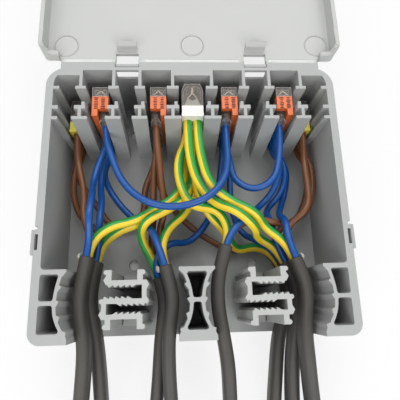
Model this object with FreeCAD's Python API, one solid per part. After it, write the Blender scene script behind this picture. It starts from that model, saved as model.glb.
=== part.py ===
import FreeCAD, Part
import math
import os

# Hinged junction box with push-in connectors, flat cables and their cores.
# Millimetres. The box lies on its back: X to the right, Y towards the hinge, Z out of the open mouth.
# The origin is the middle of the tray's underside.

V = FreeCAD.Vector
os.makedirs("parts", exist_ok=True)

# Tray shell
tray_width = 119.0
tray_length = 108.2
tray_height = 38.5
side_wall = 3.0
floor_thickness = 2.0
back_wall = 0.9
back_pad = 2.4
front_corner_radius = 4.5
back_corner_radius = 8.0
cavity_front_radius = 1.5
cavity_back_radius = 6.5
fit_gap = 0.3
tolerance = 0.01

# Hinge ledge behind the tray
ledge_width = 108.0
ledge_reach = 3.2
ledge_thickness = 2.0
hinge_gap = 0.5
latch_notch_depth = 2.5

# Cable blocks and the middle pillar at the front
block_length = 26.0
block_back_wall = 1.7
block_front_wall = 3.7
block_divider = 1.5
block_divider_start = 13.4
cell_wall = 1.2
cell_corner_radius = 0.9
block_depth_front = 12.8
block_depth_waist = 6.2
block_depth_back = 8.7
block_lip_depth = 10.6
pillar_face_front = 8.6
pillar_face_waist = 2.7
pillar_face_back = 6.2
pillar_lip = 6.9
entry_lip = 1.8

# Gripping teeth on the blocks and the pillar
grip_count = 5
grip_first = 4.2
grip_pitch = 5.2
grip_depth = 1.0
grip_flank = 0.6
grip_ramp = 1.8

# Connector bays: widths from divider to divider, and flanges by their distance from the back face
middle_bay_half = 8.1
row_bay = 13.5
outer_row_bay = 13.3
side_bay = 10.9
divider_web = 1.3
rear_flange_from_back = 9.5
rear_flange_thickness = 1.3
rear_flange_width = 4.2
middle_flange_from_back = 18.4
middle_flange_thickness = 1.5
middle_flange_width = 4.4
front_plate_from_back = 23.0
front_plate_thickness = 1.3
front_plate_width = 6.2
front_plate_draft = 3.6
inner_divider_extra = 0.7
probe_slot_depth = 12.0
stub_length = 1.6
stub_shift = 1.3
side_rib_reach = 2.3
window_sill_depth = 6.5
window_bar = 1.5

# Side lugs that take the lid's tongues
lug_start = 31.5
lug_length = 9.3
lug_reach = 1.4
lug_height = 9.0
lug_drop = 0.8
slot_length = 5.8
slot_width = 1.2
slot_depth = 8.0
slot_from_edge = 0.15
relief_length = 1.2
relief_depth = 1.0

# Fixing holes in the floor
fixing_from_front = 30.4
fixing_from_back = 13.8
fixing_hole = 4.5

# Lid
lid_wall = 1.6
lid_panel = 1.8
lid_rise = 0.4
lid_skirt = 7.5
lid_inner_fillet = 0.8
hinge_taper_start = 11.5
hinge_taper_end = 1.3
keeper_side_gap = 0.5
keeper_height = 5.0
keeper_thickness = 1.6
keeper_from_hinge = 4.8
lid_edge_notch = 1.0
lug_swing_gap = 0.9
tongue_thickness = 0.6
tongue_length = 4.4
tongue_height = 6.0
ring_radius = 4.9
ring_width = 0.5
ring_height = 0.25
ring_from_hinge = 5.2
ring_side_position = 52.0
middle_ring_from_hinge = 7.6

# Cable clamps
clamp_offset = -0.3
clamp_drop = 0.8
clamp_left_edge = -6.4
clamp_right_edge = 6.9
clamp_bar = 1.7
lower_bar_y = 8.0
middle_bar_y = 13.4
upper_bar_y = 20.0
spine_thickness = 1.7
spine_overhang = 1.4
post_width = 2.0
post_up = 3.7
post_down = 3.5
clamp_bulb_radius = 0.9
clamp_tooth_count = 5
clamp_tooth_pitch = 2.05
clamp_tooth_height = 0.9
clamp_tooth_lean = 0.2
clamp_tooth_inset = 0.6
clamp_barb = 0.9
barb_half_height = 1.6
stud_height = 5.0
stud_gap = 0.4

# Push-in connectors
connector_back_gap = 3.4
connector_front_gap = 0.4
connector_floor_gap = 2.0
earth_width = 9.0
earth_height = 33.4
earth_column = 2.1
earth_rows = [9.5, 17.0, 24.5, 32.0]
side_width = 5.5
side_height = 18.7
side_rows = [7.1, 13.3, 19.5]
side_entry_from_wall = 5.7
row_width = 6.7
row_height = 30.8
row_rows = [8.0, 14.5, 21.0, 27.5]
row_gaps = [0.4, 0.25, 0.3, 0.8]
lobe_width = 4.2
lobe_drop = 2.5
lobe_radius = 1.6
cap_length = 5.8
rear_block_length = 4.2
housing_skin = 0.8
flange_thickness = 1.5
collar_length = 3.2
taper_length = 3.8
taper_tip_share = 0.44
tip_notch = 1.2
shell_tail_share = 0.72
shell_tail_length = 3.0
contact_thickness = 0.8
contact_inset = 1.2
joint_gap = 0.1

# Cables and cores
sheath_width = 5.2
sheath_height = 9.0
core_diameter = 2.6
sleeve_diameter = 3.4
entry_bore_gap = 0.4
entry_depth = 3.1
core_spread = 3.1
core_lead = 6.5
bore_lead = 8.0

# Sizes for which the cords' routes were laid, and the part of the width that moves with the side walls
laid_length = 108.2
laid_inner_half = 56.5
steady_half = 0.0
carried_half = 56.5
shift_fade = 3
bend_share = 0.45

# Each flat sheath from its stripped end to its cut end. X is measured from the left wall, the middle or the
# right wall, and Y from the front of the tray.
sheath_routes = [
    ("left", [(14.1, 31.6, 26.5), (12.9, 24.7, 26.5), (11.8, 16.8, 26.5), (12.2, 8.6, 25.8),
              (13.7, 0.7, 24.9), (13.9, -6.5, 24.0), (13.0, -16.4, 21.4), (11.4, -27.9, 16.4),
              (9.9, -39.9, 10.6), (8.8, -50.9, 6.5), (8.3, -60.9, 4.9)]),
    ("left", [(15.8, 30.6, 17.0), (14.4, 23.3, 17.0), (13.5, 15.3, 17.0), (14.8, 7.5, 16.2),
              (16.4, -0.3, 15.2), (17.2, -7.1, 14.0), (17.9, -16.9, 11.6), (18.3, -27.9, 8.4),
              (19.1, -39.4, 5.9), (18.8, -50.4, 4.9), (19.6, -60.4, 4.8)]),
    ("middle", [(-12.1, 27.4, 26.5), (-10.2, 21.5, 26.5), (-8.9, 14.3, 26.5), (-10.0, 6.8, 25.5),
                (-10.8, -0.5, 24.5), (-10.9, -7.8, 23.5), (-10.6, -17.9, 20.6), (-9.9, -28.9, 15.6),
                (-8.9, -40.4, 10.3), (-8.6, -51.9, 6.3), (-9.2, -62.4, 4.9)]),
    ("middle", [(-15.0, 23.4, 17.0), (-13.3, 18.1, 17.0), (-12.6, 12.1, 17.0), (-13.4, 5.8, 16.5),
                (-14.3, -1.1, 16.0), (-14.7, -7.2, 15.5), (-15.4, -16.9, 13.4), (-16.6, -27.9, 9.9),
                (-18.0, -39.4, 6.7), (-18.9, -50.4, 5.1), (-19.1, -60.4, 4.8)]),
    ("middle", [(12.3, 34.7, 27.5), (10.0, 27.6, 27.5), (8.3, 19.5, 27.5), (8.3, 11.5, 26.5),
                (9.6, 3.3, 25.5), (10.9, -4.8, 24.5), (11.7, -12.1, 23.5), (12.1, -21.9, 20.4),
                (12.6, -32.9, 15.3), (13.6, -44.4, 9.9), (14.9, -55.4, 6.2), (15.8, -65.4, 4.9)]),
    ("right", [(-17.5, 26.2, 7.5), (-15.4, 19.6, 7.5), (-15.5, 13.1, 7.5), (-17.8, 6.4, 7.5),
               (-20.5, -0.1, 7.5), (-22.0, -7.4, 7.5), (-23.3, -17.4, 6.9), (-24.6, -28.4, 5.9),
               (-25.1, -39.9, 5.2), (-25.7, -50.9, 4.8), (-26.8, -60.9, 4.8)]),
    ("right", [(-18.5, 28.8, 17.3), (-15.2, 22.0, 17.3), (-13.8, 14.2, 17.3), (-14.8, 6.6, 17.0),
               (-16.6, -1.2, 16.5), (-17.7, -8.9, 15.4), (-18.1, -18.9, 12.9), (-17.9, -29.9, 9.6),
               (-17.4, -41.4, 6.6), (-17.5, -52.4, 5.1), (-18.3, -62.4, 4.8)]),
    ("right", [(-17.0, 29.3, 27.5), (-14.3, 22.5, 27.5), (-13.5, 14.4, 27.5), (-14.3, 6.8, 26.5),
               (-14.9, -0.6, 25.9), (-14.4, -8.0, 24.9), (-13.5, -17.9, 22.2), (-11.6, -28.9, 17.3),
               (-9.4, -40.4, 11.5), (-8.0, -51.4, 7.0), (-7.2, -61.4, 5.0)]),
]

# Each core: the connector, column and row of its bore, as in 4b2, and its points from the sheath
live_routes = [
    ("1a3", [(-42.4, 31.6, 23.4), (-46.2, 48.3, 21.7), (-46.1, 59.8, 21.2), (-48.9, 71.0, 22.2),
             (-50.8, 90.0, 19.5)]),
    ("1a2", [(-40.7, 30.6, 13.9), (-42.0, 44.9, 7.6), (-50.2, 51.2, 10.3), (-53.0, 60.9, 13.6),
             (-52.4, 71.5, 14.4), (-50.8, 90.0, 13.3)]),
    ("3a4", [(-12.1, 27.4, 23.4), (-14.9, 42.4, 18.0), (-12.0, 51.8, 20.9), (-13.5, 61.9, 23.0),
             (-14.3, 71.7, 26.4), (-15.5, 90.0, 27.5)]),
    ("3a3", [(-15.0, 23.4, 13.9), (-18.7, 40.1, 11.5), (-17.2, 50.3, 14.8), (-17.3, 60.5, 18.5),
             (-16.7, 71.2, 20.4), (-15.5, 90.0, 21.0)]),
    ("7a2", [(12.3, 34.7, 24.4), (24.3, 47.0, 24.6), (35.5, 43.9, 24.9), (40.9, 45.1, 14.5),
             (51.1, 50.8, 15.3), (54.4, 61.3, 15.4), (54.4, 72.9, 16.2), (50.8, 90.0, 13.3)]),
    ("3a2", [(39.0, 26.2, 4.4), (28.0, 37.8, 3.6), (17.9, 34.9, 4.9), (8.5, 39.8, 5.6),
             (-0.2, 45.8, 6.3), (-7.7, 53.2, 7.6), (-13.7, 61.7, 9.8), (-16.2, 71.5, 12.9),
             (-15.5, 90.0, 14.5)]),
    ("7a1", [(38.0, 28.8, 14.2), (37.1, 43.5, 10.3), (46.5, 47.2, 10.0), (51.8, 55.6, 9.5),
             (54.4, 65.1, 9.4), (54.4, 74.8, 10.1), (50.8, 90.0, 7.1)]),
    ("7a3", [(39.5, 29.3, 24.4), (40.3, 44.2, 20.0), (48.3, 50.0, 24.9), (50.2, 60.4, 21.7),
             (49.2, 71.4, 22.2), (50.8, 90.0, 19.5)]),
]
neutral_routes = [
    ("2a3", [(-42.4, 31.6, 29.6), (-40.9, 46.5, 35.4), (-40.7, 55.7, 30.8), (-42.4, 62.5, 23.4),
             (-40.4, 72.5, 22.0), (-37.0, 90.0, 21.0)]),
    ("2a2", [(-40.7, 30.6, 20.1), (-38.6, 45.1, 26.7), (-38.3, 54.5, 22.8), (-40.3, 62.5, 16.9),
             (-40.2, 72.5, 15.7), (-37.0, 90.0, 14.5)]),
    ("2a1", [(-12.1, 27.4, 29.6), (-17.7, 43.3, 25.0), (-21.0, 45.1, 14.3), (-29.6, 52.5, 13.2),
             (-36.5, 61.5, 12.8), (-41.0, 71.6, 10.1), (-37.0, 90.0, 8.0)]),
    ("5a2", [(-15.0, 23.4, 20.1), (-11.1, 38.0, 19.4), (-2.0, 38.2, 11.5), (6.3, 47.0, 12.6),
             (10.8, 58.2, 12.3), (13.0, 70.0, 13.7), (14.5, 90.0, 14.5)]),
    ("6a3", [(12.3, 34.7, 30.6), (23.7, 47.9, 29.9), (26.9, 51.2, 18.8), (35.5, 59.2, 18.9),
             (39.0, 70.3, 21.5), (38.0, 90.0, 21.0)]),
    ("5a1", [(39.0, 26.2, 10.6), (29.0, 38.6, 13.2), (22.5, 42.6, 6.3), (18.2, 51.7, 8.2),
             (17.5, 62.0, 8.3), (18.0, 72.3, 8.0), (14.5, 90.0, 8.0)]),
    ("6a2", [(38.0, 28.8, 20.4), (32.3, 45.5, 22.6), (32.2, 52.3, 13.0), (40.8, 60.3, 12.9),
             (43.2, 71.5, 15.1), (38.0, 90.0, 14.5)]),
    ("6a1", [(39.5, 29.3, 30.6), (37.2, 45.5, 28.2), (36.8, 48.4, 18.3), (40.4, 55.0, 11.0),
             (44.1, 64.3, 8.4), (45.4, 74.6, 7.9), (38.0, 90.0, 8.0)]),
]
earth_routes = [
    ("4a2", [(-42.4, 31.6, 26.5), (-33.9, 43.8, 27.4), (-24.9, 46.0, 24.8), (-16.6, 50.7, 24.5),
             (-8.3, 55.5, 24.4), (-4.0, 63.5, 21.3), (-3.8, 72.8, 19.2), (-2.1, 90.0, 17.0)]),
    ("4a1", [(-40.7, 30.6, 17.0), (-32.2, 43.2, 18.6), (-23.3, 45.5, 22.0), (-15.8, 50.1, 17.8),
             (-7.3, 54.4, 15.5), (-3.0, 63.1, 14.1), (-3.6, 72.6, 12.0), (-2.1, 90.0, 9.5)]),
    ("4b1", [(-12.1, 27.4, 26.5), (-11.3, 43.3, 22.0), (-3.3, 50.3, 18.1), (0.7, 60.3, 15.0),
             (1.4, 71.1, 12.1), (2.1, 90.0, 9.5)]),
    ("4b2", [(-15.0, 23.4, 17.0), (-22.7, 39.6, 17.6), (-20.6, 45.5, 27.8), (-9.4, 50.6, 27.8),
             (-1.4, 58.2, 22.4), (1.2, 70.1, 20.4), (2.1, 90.0, 17.0)]),
    ("4a3", [(12.3, 34.7, 27.5), (9.7, 50.2, 27.5), (-1.4, 50.8, 28.7), (-5.9, 60.9, 27.5),
             (-6.6, 71.9, 26.0), (-2.1, 90.0, 24.5)]),
    ("4b3", [(39.0, 26.2, 7.5), (27.8, 37.2, 9.9), (17.8, 34.0, 14.2), (13.4, 41.3, 21.8),
             (5.6, 49.2, 24.0), (1.0, 59.4, 25.8), (1.3, 70.8, 25.6), (2.1, 90.0, 24.5)]),
    ("4a4", [(38.0, 28.8, 17.3), (26.1, 39.4, 19.9), (24.4, 41.2, 31.0), (16.6, 47.5, 35.6),
             (8.2, 51.8, 29.7), (1.3, 60.4, 30.2), (-1.5, 71.0, 31.1), (-2.1, 90.0, 32.0)]),
    ("4b4", [(39.5, 29.3, 27.5), (29.0, 42.5, 25.0), (23.9, 47.4, 33.7), (14.3, 52.5, 31.3),
             (6.2, 60.2, 31.0), (3.1, 70.9, 32.3), (2.1, 90.0, 32.0)]),
]

# Each link: the bores at its two ends, and its points from one to the other
link_routes = {
    "neutral_link_left":
        ("2a4", "5a4", [(-37.0, 90.0, 27.5), (-33.7, 72.1, 29.1), (-29.9, 62.4, 31.3),
                        (-23.4, 54.4, 33.4), (-14.0, 49.6, 34.7), (-3.4, 49.5, 35.2), (6.5, 53.5, 35.3),
                        (12.8, 61.8, 33.3), (14.6, 71.6, 29.7), (14.5, 90.0, 27.5)]),
    "neutral_link_right":
        ("5a3", "6a4", [(14.5, 90.0, 21.0), (16.2, 72.4, 22.9), (17.2, 62.7, 25.1), (25.7, 57.8, 26.5),
                        (34.4, 62.5, 27.5), (37.0, 72.1, 27.5), (38.0, 90.0, 27.5)]),
    "live_link":
        ("1a1", "3a1", [(-50.8, 90.0, 7.1), (-53.1, 72.9, 10.1), (-49.1, 63.9, 9.5), (-42.8, 56.3, 8.4),
                        (-37.8, 47.8, 7.3), (-28.1, 46.3, 6.7), (-21.6, 53.7, 7.0), (-22.4, 63.5, 7.7),
                        (-18.8, 72.7, 8.1), (-15.5, 90.0, 8.0)]),
}

# Shared levels
front = -tray_length / 2
back = tray_length / 2
rim = tray_height
inner_half = tray_width / 2 - side_wall
bay_back = back - back_wall
block_back = front + block_length
outer_divider = inner_half - side_bay
divider_positions = [middle_bay_half, middle_bay_half + row_bay,
                     outer_divider - outer_row_bay, outer_divider]
fixing_x = (divider_positions[1] + divider_positions[2]) / 2
clamp_centre = (pillar_face_waist + inner_half - block_depth_waist) / 2 + clamp_offset
connector_back = bay_back - back_pad - connector_back_gap
connector_front = back - front_plate_from_back + front_plate_thickness + connector_front_gap
connector_base = floor_thickness + connector_floor_gap
hinge_y = back + ledge_reach + hinge_gap / 2
hinge_z = rim


def box(x0, x1, y0, y1, z0, z1):
    return Part.makeBox(x1 - x0, y1 - y0, z1 - z0, V(x0, y0, z0))


def face_of(points):
    corners = [V(x, y, 0) for x, y in points]
    return Part.Face(Part.makePolygon(corners + corners[:1]))


def prism(points, z0, z1):
    shape = face_of(points).extrude(V(0, 0, z1 - z0))
    shape.translate(V(0, 0, z0))
    return shape


def column(x, y, radius, z0, z1):
    return Part.makeCylinder(radius, z1 - z0, V(x, y, z0))


def mirrored(shape):
    return shape.mirror(V(0, 0, 0), V(1, 0, 0))


def both_sides(shape):
    return [shape, mirrored(shape)]


def rounded_block(half_width, y0, y1, front_radius, back_radius, z0, z1):
    # Plan outline with its own corner radius at the front and at the back.
    f = front_radius
    b = back_radius
    h = half_width
    k = 1 - math.sqrt(0.5)
    edges = [
        Part.LineSegment(V(-h + f, y0, z0), V(h - f, y0, z0)),
        Part.Arc(V(h - f, y0, z0), V(h - f * k, y0 + f * k, z0), V(h, y0 + f, z0)),
        Part.LineSegment(V(h, y0 + f, z0), V(h, y1 - b, z0)),
        Part.Arc(V(h, y1 - b, z0), V(h - b * k, y1 - b * k, z0), V(h - b, y1, z0)),
        Part.LineSegment(V(h - b, y1, z0), V(-h + b, y1, z0)),
        Part.Arc(V(-h + b, y1, z0), V(-h + b * k, y1 - b * k, z0), V(-h, y1 - b, z0)),
        Part.LineSegment(V(-h, y1 - b, z0), V(-h, y0 + f, z0)),
        Part.Arc(V(-h, y0 + f, z0), V(-h + f * k, y0 + f * k, z0), V(-h + f, y0, z0)),
    ]
    outline = Part.Wire([edge.toShape() for edge in edges])
    return Part.Face(outline).extrude(V(0, 0, z1 - z0))


def fuse_all(shapes):
    whole = shapes[0].multiFuse(shapes[1:]) if len(shapes) > 1 else shapes[0]
    return whole.removeSplitter()


def save(name, shape):
    if len(shape.Solids) != 1:
        print("check", name, "has", len(shape.Solids), "solids")
    shape.exportStep("parts/" + name + ".step")
    print(name, "volume", round(shape.Volume, 1))


def curve_between(y, start, waist, end):
    # Concave side of a block or the pillar: widest or narrowest half way along the block.
    middle = block_length / 2 + front
    reach = block_length / 2
    share = (y - middle) / reach
    side = end if share > 0 else start
    return waist + (side - waist) * share * share


def block_face(y):
    return inner_half - curve_between(y, block_depth_front, block_depth_waist, block_depth_back)


def pillar_face(y):
    return curve_between(y, pillar_face_front, pillar_face_waist, pillar_face_back)


def toothed_edge(face, towards_gap, lip_x):
    # Points of a toothed side from front to back. Each tooth is steep behind and ramped in front.
    points = [(lip_x, front - side_wall), (lip_x, front + entry_lip)]
    for index in range(grip_count):
        tip_y = front + grip_first + index * grip_pitch
        ramp_y = tip_y - grip_ramp if index else (front + entry_lip + tip_y) / 2
        points.append((face(ramp_y), ramp_y))
        points.append((face(tip_y) + towards_gap * grip_depth, tip_y))
        if index < grip_count - 1:
            points.append((face(tip_y + grip_flank), tip_y + grip_flank))
    end_x = points[-1][0]
    points.append((end_x, front + block_length + side_wall))
    return points


def entry_gap():
    outer = toothed_edge(block_face, -1, inner_half - block_lip_depth)
    inner = toothed_edge(pillar_face, 1, pillar_lip)
    return prism(outer + inner[::-1], floor_thickness, rim + side_wall)


def curved_cell(x_outer, face, inwards, y0, y1):
    # Pocket whose gap side follows the toothed face, one cell wall behind the tooth roots.
    middle = (y0 + y1) / 2
    a = V(face(y0) + inwards * cell_wall, y0, floor_thickness)
    b = V(face(middle) + inwards * cell_wall, middle, floor_thickness)
    c = V(face(y1) + inwards * cell_wall, y1, floor_thickness)
    d = V(x_outer, y1, floor_thickness)
    e = V(x_outer, y0, floor_thickness)
    edges = [
        Part.Arc(a, b, c).toShape(),
        Part.LineSegment(c, d).toShape(),
        Part.LineSegment(d, e).toShape(),
        Part.LineSegment(e, a).toShape(),
    ]
    return Part.Face(Part.Wire(edges)).extrude(V(0, 0, rim + side_wall))


def round_uprights(shape, radius):
    upright = []
    for edge in shape.Edges:
        reach = edge.BoundBox
        if reach.ZLength > radius and reach.XLength + reach.YLength < tolerance:
            upright.append(edge)
    return shape.makeFillet(radius, upright)


def cell_rows():
    split = front + block_divider_start
    yield front + block_front_wall, split
    yield split + block_divider, front + block_length - block_back_wall


def block_cells():
    cells = []
    for y0, y1 in cell_rows():
        cells += both_sides(curved_cell(inner_half, block_face, 1, y0, y1))
        half = curved_cell(0, pillar_face, -1, y0, y1)
        cells.append(half.fuse(mirrored(half)).removeSplitter())
    return [round_uprights(cell, cell_corner_radius) for cell in cells]


def divider(x):
    # One wall between two bays: web, three cross flanges and the probe slot between two of them.
    inner = abs(x) == divider_positions[0]
    extra = inner_divider_extra if inner else 0
    web = divider_web / 2
    rear0 = back - rear_flange_from_back
    middle0 = back - middle_flange_from_back
    middle1 = middle0 + middle_flange_thickness
    plate0 = back - front_plate_from_back
    plate1 = plate0 + front_plate_thickness
    rear_half = (rear_flange_width + extra) / 2
    middle_half = (middle_flange_width + extra) / 2
    plate_half = (front_plate_width + extra) / 2
    stub_x = x - math.copysign(stub_shift, x)
    section = [V(x - plate_half, plate0, rim), V(x - plate_half, plate1, rim),
               V(x - plate_half, plate1, floor_thickness),
               V(x - plate_half, plate0 - front_plate_draft, floor_thickness)]
    plate = Part.Face(Part.makePolygon(section + section[:1])).extrude(V(2 * plate_half, 0, 0))
    pieces = [
        plate,
        box(x - web, x + web, plate1, middle0, floor_thickness, rim),
        box(x - middle_half, x + middle_half, middle0, middle1, floor_thickness, rim),
        box(x - web, x + web, middle1, rear0, floor_thickness, rim - probe_slot_depth),
        box(stub_x - web, stub_x + web, middle1, middle1 + stub_length, floor_thickness, rim),
        box(x - rear_half, x + rear_half, rear0, rear0 + rear_flange_thickness, floor_thickness, rim),
        box(x - web, x + web, rear0 + rear_flange_thickness, bay_back + back_wall / 2, floor_thickness, rim),
    ]
    return pieces


def side_ribs():
    ribs = []
    rows = [(rear_flange_from_back, rear_flange_thickness),
            (middle_flange_from_back, middle_flange_thickness),
            (front_plate_from_back, front_plate_thickness)]
    for from_back, thickness in rows:
        y0 = back - from_back
        rib = box(inner_half - side_rib_reach, inner_half + side_wall / 2, y0, y0 + thickness,
                  floor_thickness, rim)
        ribs += both_sides(rib)
    return ribs


def back_pads():
    # The back wall is thicker behind the middle bay and the two outer bays.
    middle = divider_positions[0]
    outer = divider_positions[3]
    y0 = bay_back - back_pad
    y1 = bay_back + back_wall / 2
    pads = [box(-middle, middle, y0, y1, floor_thickness, rim)]
    pads += both_sides(box(outer, inner_half + side_wall / 2, y0, y1, floor_thickness, rim))
    return pads


def catch_bay():
    # The clear width of the bay that takes the lid's keeper.
    return divider_positions[1] + divider_web / 2, divider_positions[2] - divider_web / 2


def catch_windows():
    x0, x1 = catch_bay()
    notch_y = back + ledge_reach - latch_notch_depth
    window = box(x0, x1, bay_back - back_wall, back + ledge_reach, rim - window_sill_depth, rim - window_bar)
    notch = box(x0, x1, notch_y, back + 2 * ledge_reach, rim - 2 * ledge_thickness, rim + side_wall)
    return both_sides(window.fuse(notch))


def lugs():
    y0 = front + lug_start
    top = rim - lug_drop
    edge = tray_width / 2
    lug = box(edge - slot_from_edge, edge + lug_reach, y0, y0 + lug_length, top - lug_height, top)
    return both_sides(lug)


def lug_cuts():
    edge = tray_width / 2
    slot_x1 = edge - slot_from_edge
    middle = front + lug_start + lug_length / 2
    slot = box(slot_x1 - slot_width, slot_x1, middle - slot_length / 2, middle + slot_length / 2,
               rim - slot_depth, rim + side_wall)
    relief_y = front + lug_start + lug_length
    relief = box(edge - relief_depth, edge + side_wall, relief_y, relief_y + relief_length,
                 rim - lug_height, rim + side_wall)
    return both_sides(slot) + both_sides(relief)


def fixing_places():
    for x in (-fixing_x, fixing_x):
        for y in (front + fixing_from_front, back - fixing_from_back):
            yield x, y


def clamp_columns():
    # The two posts above and below the clamp leave a pocket that a stud on the floor fills.
    left = clamp_centre + clamp_left_edge + post_width
    right = clamp_centre + clamp_right_edge - post_width
    return left, right


def clamp_studs():
    left, right = clamp_columns()
    lower_y = front + lower_bar_y
    lower = box(left + stud_gap, right - stud_gap, lower_y - post_down, lower_y - stud_gap,
                0, floor_thickness + stud_height)
    upper_y = front + upper_bar_y + clamp_bar
    upper = box(left + stud_gap, right - stud_gap, upper_y + stud_gap, upper_y + post_up,
                0, floor_thickness + stud_height)
    return both_sides(lower) + both_sides(upper)


def make_tray():
    outline = rounded_block(tray_width / 2, front, back, front_corner_radius, back_corner_radius, 0, rim)
    cavity = rounded_block(inner_half, front + block_length, bay_back, cavity_front_radius,
                           cavity_back_radius, floor_thickness, rim + side_wall)
    shell = outline.cut([cavity] + both_sides(entry_gap()) + block_cells())
    inside = side_ribs() + back_pads() + clamp_studs()
    for position in divider_positions:
        inside += divider(position) + divider(-position)
    ledge = box(-ledge_width / 2, ledge_width / 2, back - back_wall / 2, back + ledge_reach,
                rim - ledge_thickness, rim)
    shell = shell.fuse(inside).common(outline).fuse([ledge] + lugs())
    cuts = catch_windows() + lug_cuts()
    for x, y in fixing_places():
        cuts.append(column(x, y, fixing_hole / 2, -floor_thickness, floor_thickness + stud_height))
    return shell.cut(cuts).removeSplitter()


def lid_ring(x, from_hinge, top):
    y = hinge_y - from_hinge
    outer = column(x, y, ring_radius + ring_width / 2, top - ring_height, top)
    return outer.cut(column(x, y, ring_radius - ring_width / 2, top - ring_height, top))


def make_lid():
    # Drawn closed over the tray, then swung open by half a turn about the hinge.
    half = tray_width / 2 + fit_gap + lid_wall
    y0 = front - fit_gap - lid_wall
    y1 = hinge_y - hinge_gap / 2
    panel_z = rim + lid_rise
    skirt_z = panel_z - lid_skirt
    wide = fit_gap + lid_wall
    outer = rounded_block(half, y0, y1, front_corner_radius + wide, back_corner_radius + wide,
                          skirt_z, panel_z + lid_panel)
    hollow = rounded_block(half - lid_wall, y0 + lid_wall, y1 - lid_wall, front_corner_radius + fit_gap,
                           back_corner_radius + fit_gap, skirt_z - lid_panel, panel_z)
    lips = [edge for edge in hollow.Edges if edge.BoundBox.ZMin > panel_z - tolerance]
    hollow = hollow.makeFillet(lid_inner_fillet, lips)
    shape = outer.cut(hollow)
    # No skirt along the hinge, and the skirt beside it tapers so that it swings past the tray.
    gap_half = ledge_width / 2 + fit_gap
    hinge_cut = box(-gap_half, gap_half, y1 - lid_wall - lid_inner_fillet, y1 + lid_wall,
                    skirt_z - lid_panel, panel_z)
    low = skirt_z - lid_panel
    side = -half - lid_wall
    taper = [V(side, y1 + lid_wall, panel_z - hinge_taper_end), V(side, y1 - hinge_taper_start, skirt_z),
             V(side, y1 - hinge_taper_start, low), V(side, y1 + lid_wall, low)]
    taper_cut = Part.Face(Part.makePolygon(taper + taper[:1])).extrude(V(-2 * side, 0, 0))
    lug_y0 = front + lug_start - fit_gap
    lug_y1 = front + lug_start + lug_length + lug_swing_gap
    lug_cut = box(tray_width / 2 - fit_gap, half + lid_wall, lug_y0, lug_y1, low, panel_z)
    x0, x1 = catch_bay()
    edge_notch = box(x0, x1, y1 - lid_edge_notch, y1 + lid_wall, low, panel_z + 2 * lid_panel)
    shape = shape.cut([hinge_cut, taper_cut] + both_sides(lug_cut) + both_sides(edge_notch))
    keeper_y = hinge_y - keeper_from_hinge
    keeper = box(x0 + keeper_side_gap, x1 - keeper_side_gap, keeper_y - keeper_thickness, keeper_y,
                 panel_z - keeper_height, panel_z)
    slot_x = tray_width / 2 - slot_from_edge - slot_width / 2
    tongue_y = front + lug_start + lug_length / 2
    tongue = box(slot_x - tongue_thickness / 2, slot_x + tongue_thickness / 2, tongue_y - tongue_length / 2,
                 tongue_y + tongue_length / 2, panel_z - tongue_height, panel_z)
    rings = both_sides(lid_ring(ring_side_position, ring_from_hinge, panel_z))
    rings.append(lid_ring(0, middle_ring_from_hinge, panel_z))
    shape = shape.fuse(both_sides(keeper) + both_sides(tongue) + rings).removeSplitter()
    shape.rotate(V(0, hinge_y, hinge_z), V(1, 0, 0), 180)
    return shape


def tooth_row(x_start, direction, y, upwards):
    # Slanted teeth along a bar of the clamp, each with its steep side towards x_start.
    teeth = []
    for index in range(clamp_tooth_count):
        x = x_start + direction * (clamp_tooth_inset + index * clamp_tooth_pitch)
        tip_x = x + direction * clamp_tooth_pitch * clamp_tooth_lean
        end_x = x + direction * clamp_tooth_pitch
        points = [(x, y), (tip_x, y + upwards * clamp_tooth_height), (end_x, y)]
        teeth.append(points)
    return teeth


def make_clamp():
    # Serrated S: three bars joined by a spine at each end, with posts above and below.
    left = clamp_centre + clamp_left_edge
    right = clamp_centre + clamp_right_edge
    z0 = floor_thickness
    z1 = rim - clamp_drop
    low0 = front + lower_bar_y
    low1 = low0 + clamp_bar
    mid0 = front + middle_bar_y
    mid1 = mid0 + clamp_bar
    top0 = front + upper_bar_y
    top1 = top0 + clamp_bar
    left_spine = left - spine_overhang
    right_spine = right + spine_overhang
    plates = [
        (left, right, low0, low1),
        (left_spine, right_spine, mid0, mid1),
        (left, right, top0, top1),
        (left_spine, left_spine + spine_thickness, mid0, top1),
        (left_spine, left + post_width, top0, top1),
        (right_spine - spine_thickness, right_spine, low0, mid1),
        (right - post_width, right_spine, low0, low1),
        (left, left + post_width, low0 - post_down, low1),
        (right - post_width, right, low0 - post_down, low1),
        (left, left + post_width, top0, top1 + post_up),
        (right - post_width, right, top0, top1 + post_up),
    ]
    solids = [box(x0, x1, y0, y1, z0, z1) for x0, x1, y0, y1 in plates]
    rows = tooth_row(right, -1, top0, -1)
    rows += tooth_row(right_spine, -1, mid1, 1)
    rows += tooth_row(left_spine, 1, mid0, -1)
    rows += tooth_row(left, 1, low1, 1)
    barb_rows = [(left_spine, -1, mid0 + clamp_bar / 2), (right_spine, 1, low0 + clamp_bar),
                 (left_spine, -1, top0), (right, 1, top1)]
    for x, outwards, y in barb_rows:
        rows.append([(x, y - barb_half_height), (x + outwards * clamp_barb, y), (x, y + barb_half_height)])
    solids += [prism(points, z0, z1) for points in rows]
    foot_y = low0 - post_down + clamp_bulb_radius
    head_y = top1 + post_up - clamp_bulb_radius
    bulbs = [(left, foot_y), (right, foot_y), (left, head_y), (right, head_y),
             (right_spine, mid0 + clamp_bar / 2)]
    solids += [column(x, y, clamp_bulb_radius, z0, z1) for x, y in bulbs]
    return fuse_all(solids)


def entry_bore(x, z, diameter):
    # A core ends at the bottom of its bore, in line with all the others.
    start = connector_front - joint_gap
    return Part.makeCylinder(diameter / 2, entry_depth + joint_gap, V(x, start, z), V(0, 1, 0))


def side_entry():
    return inner_half - side_entry_from_wall


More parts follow.
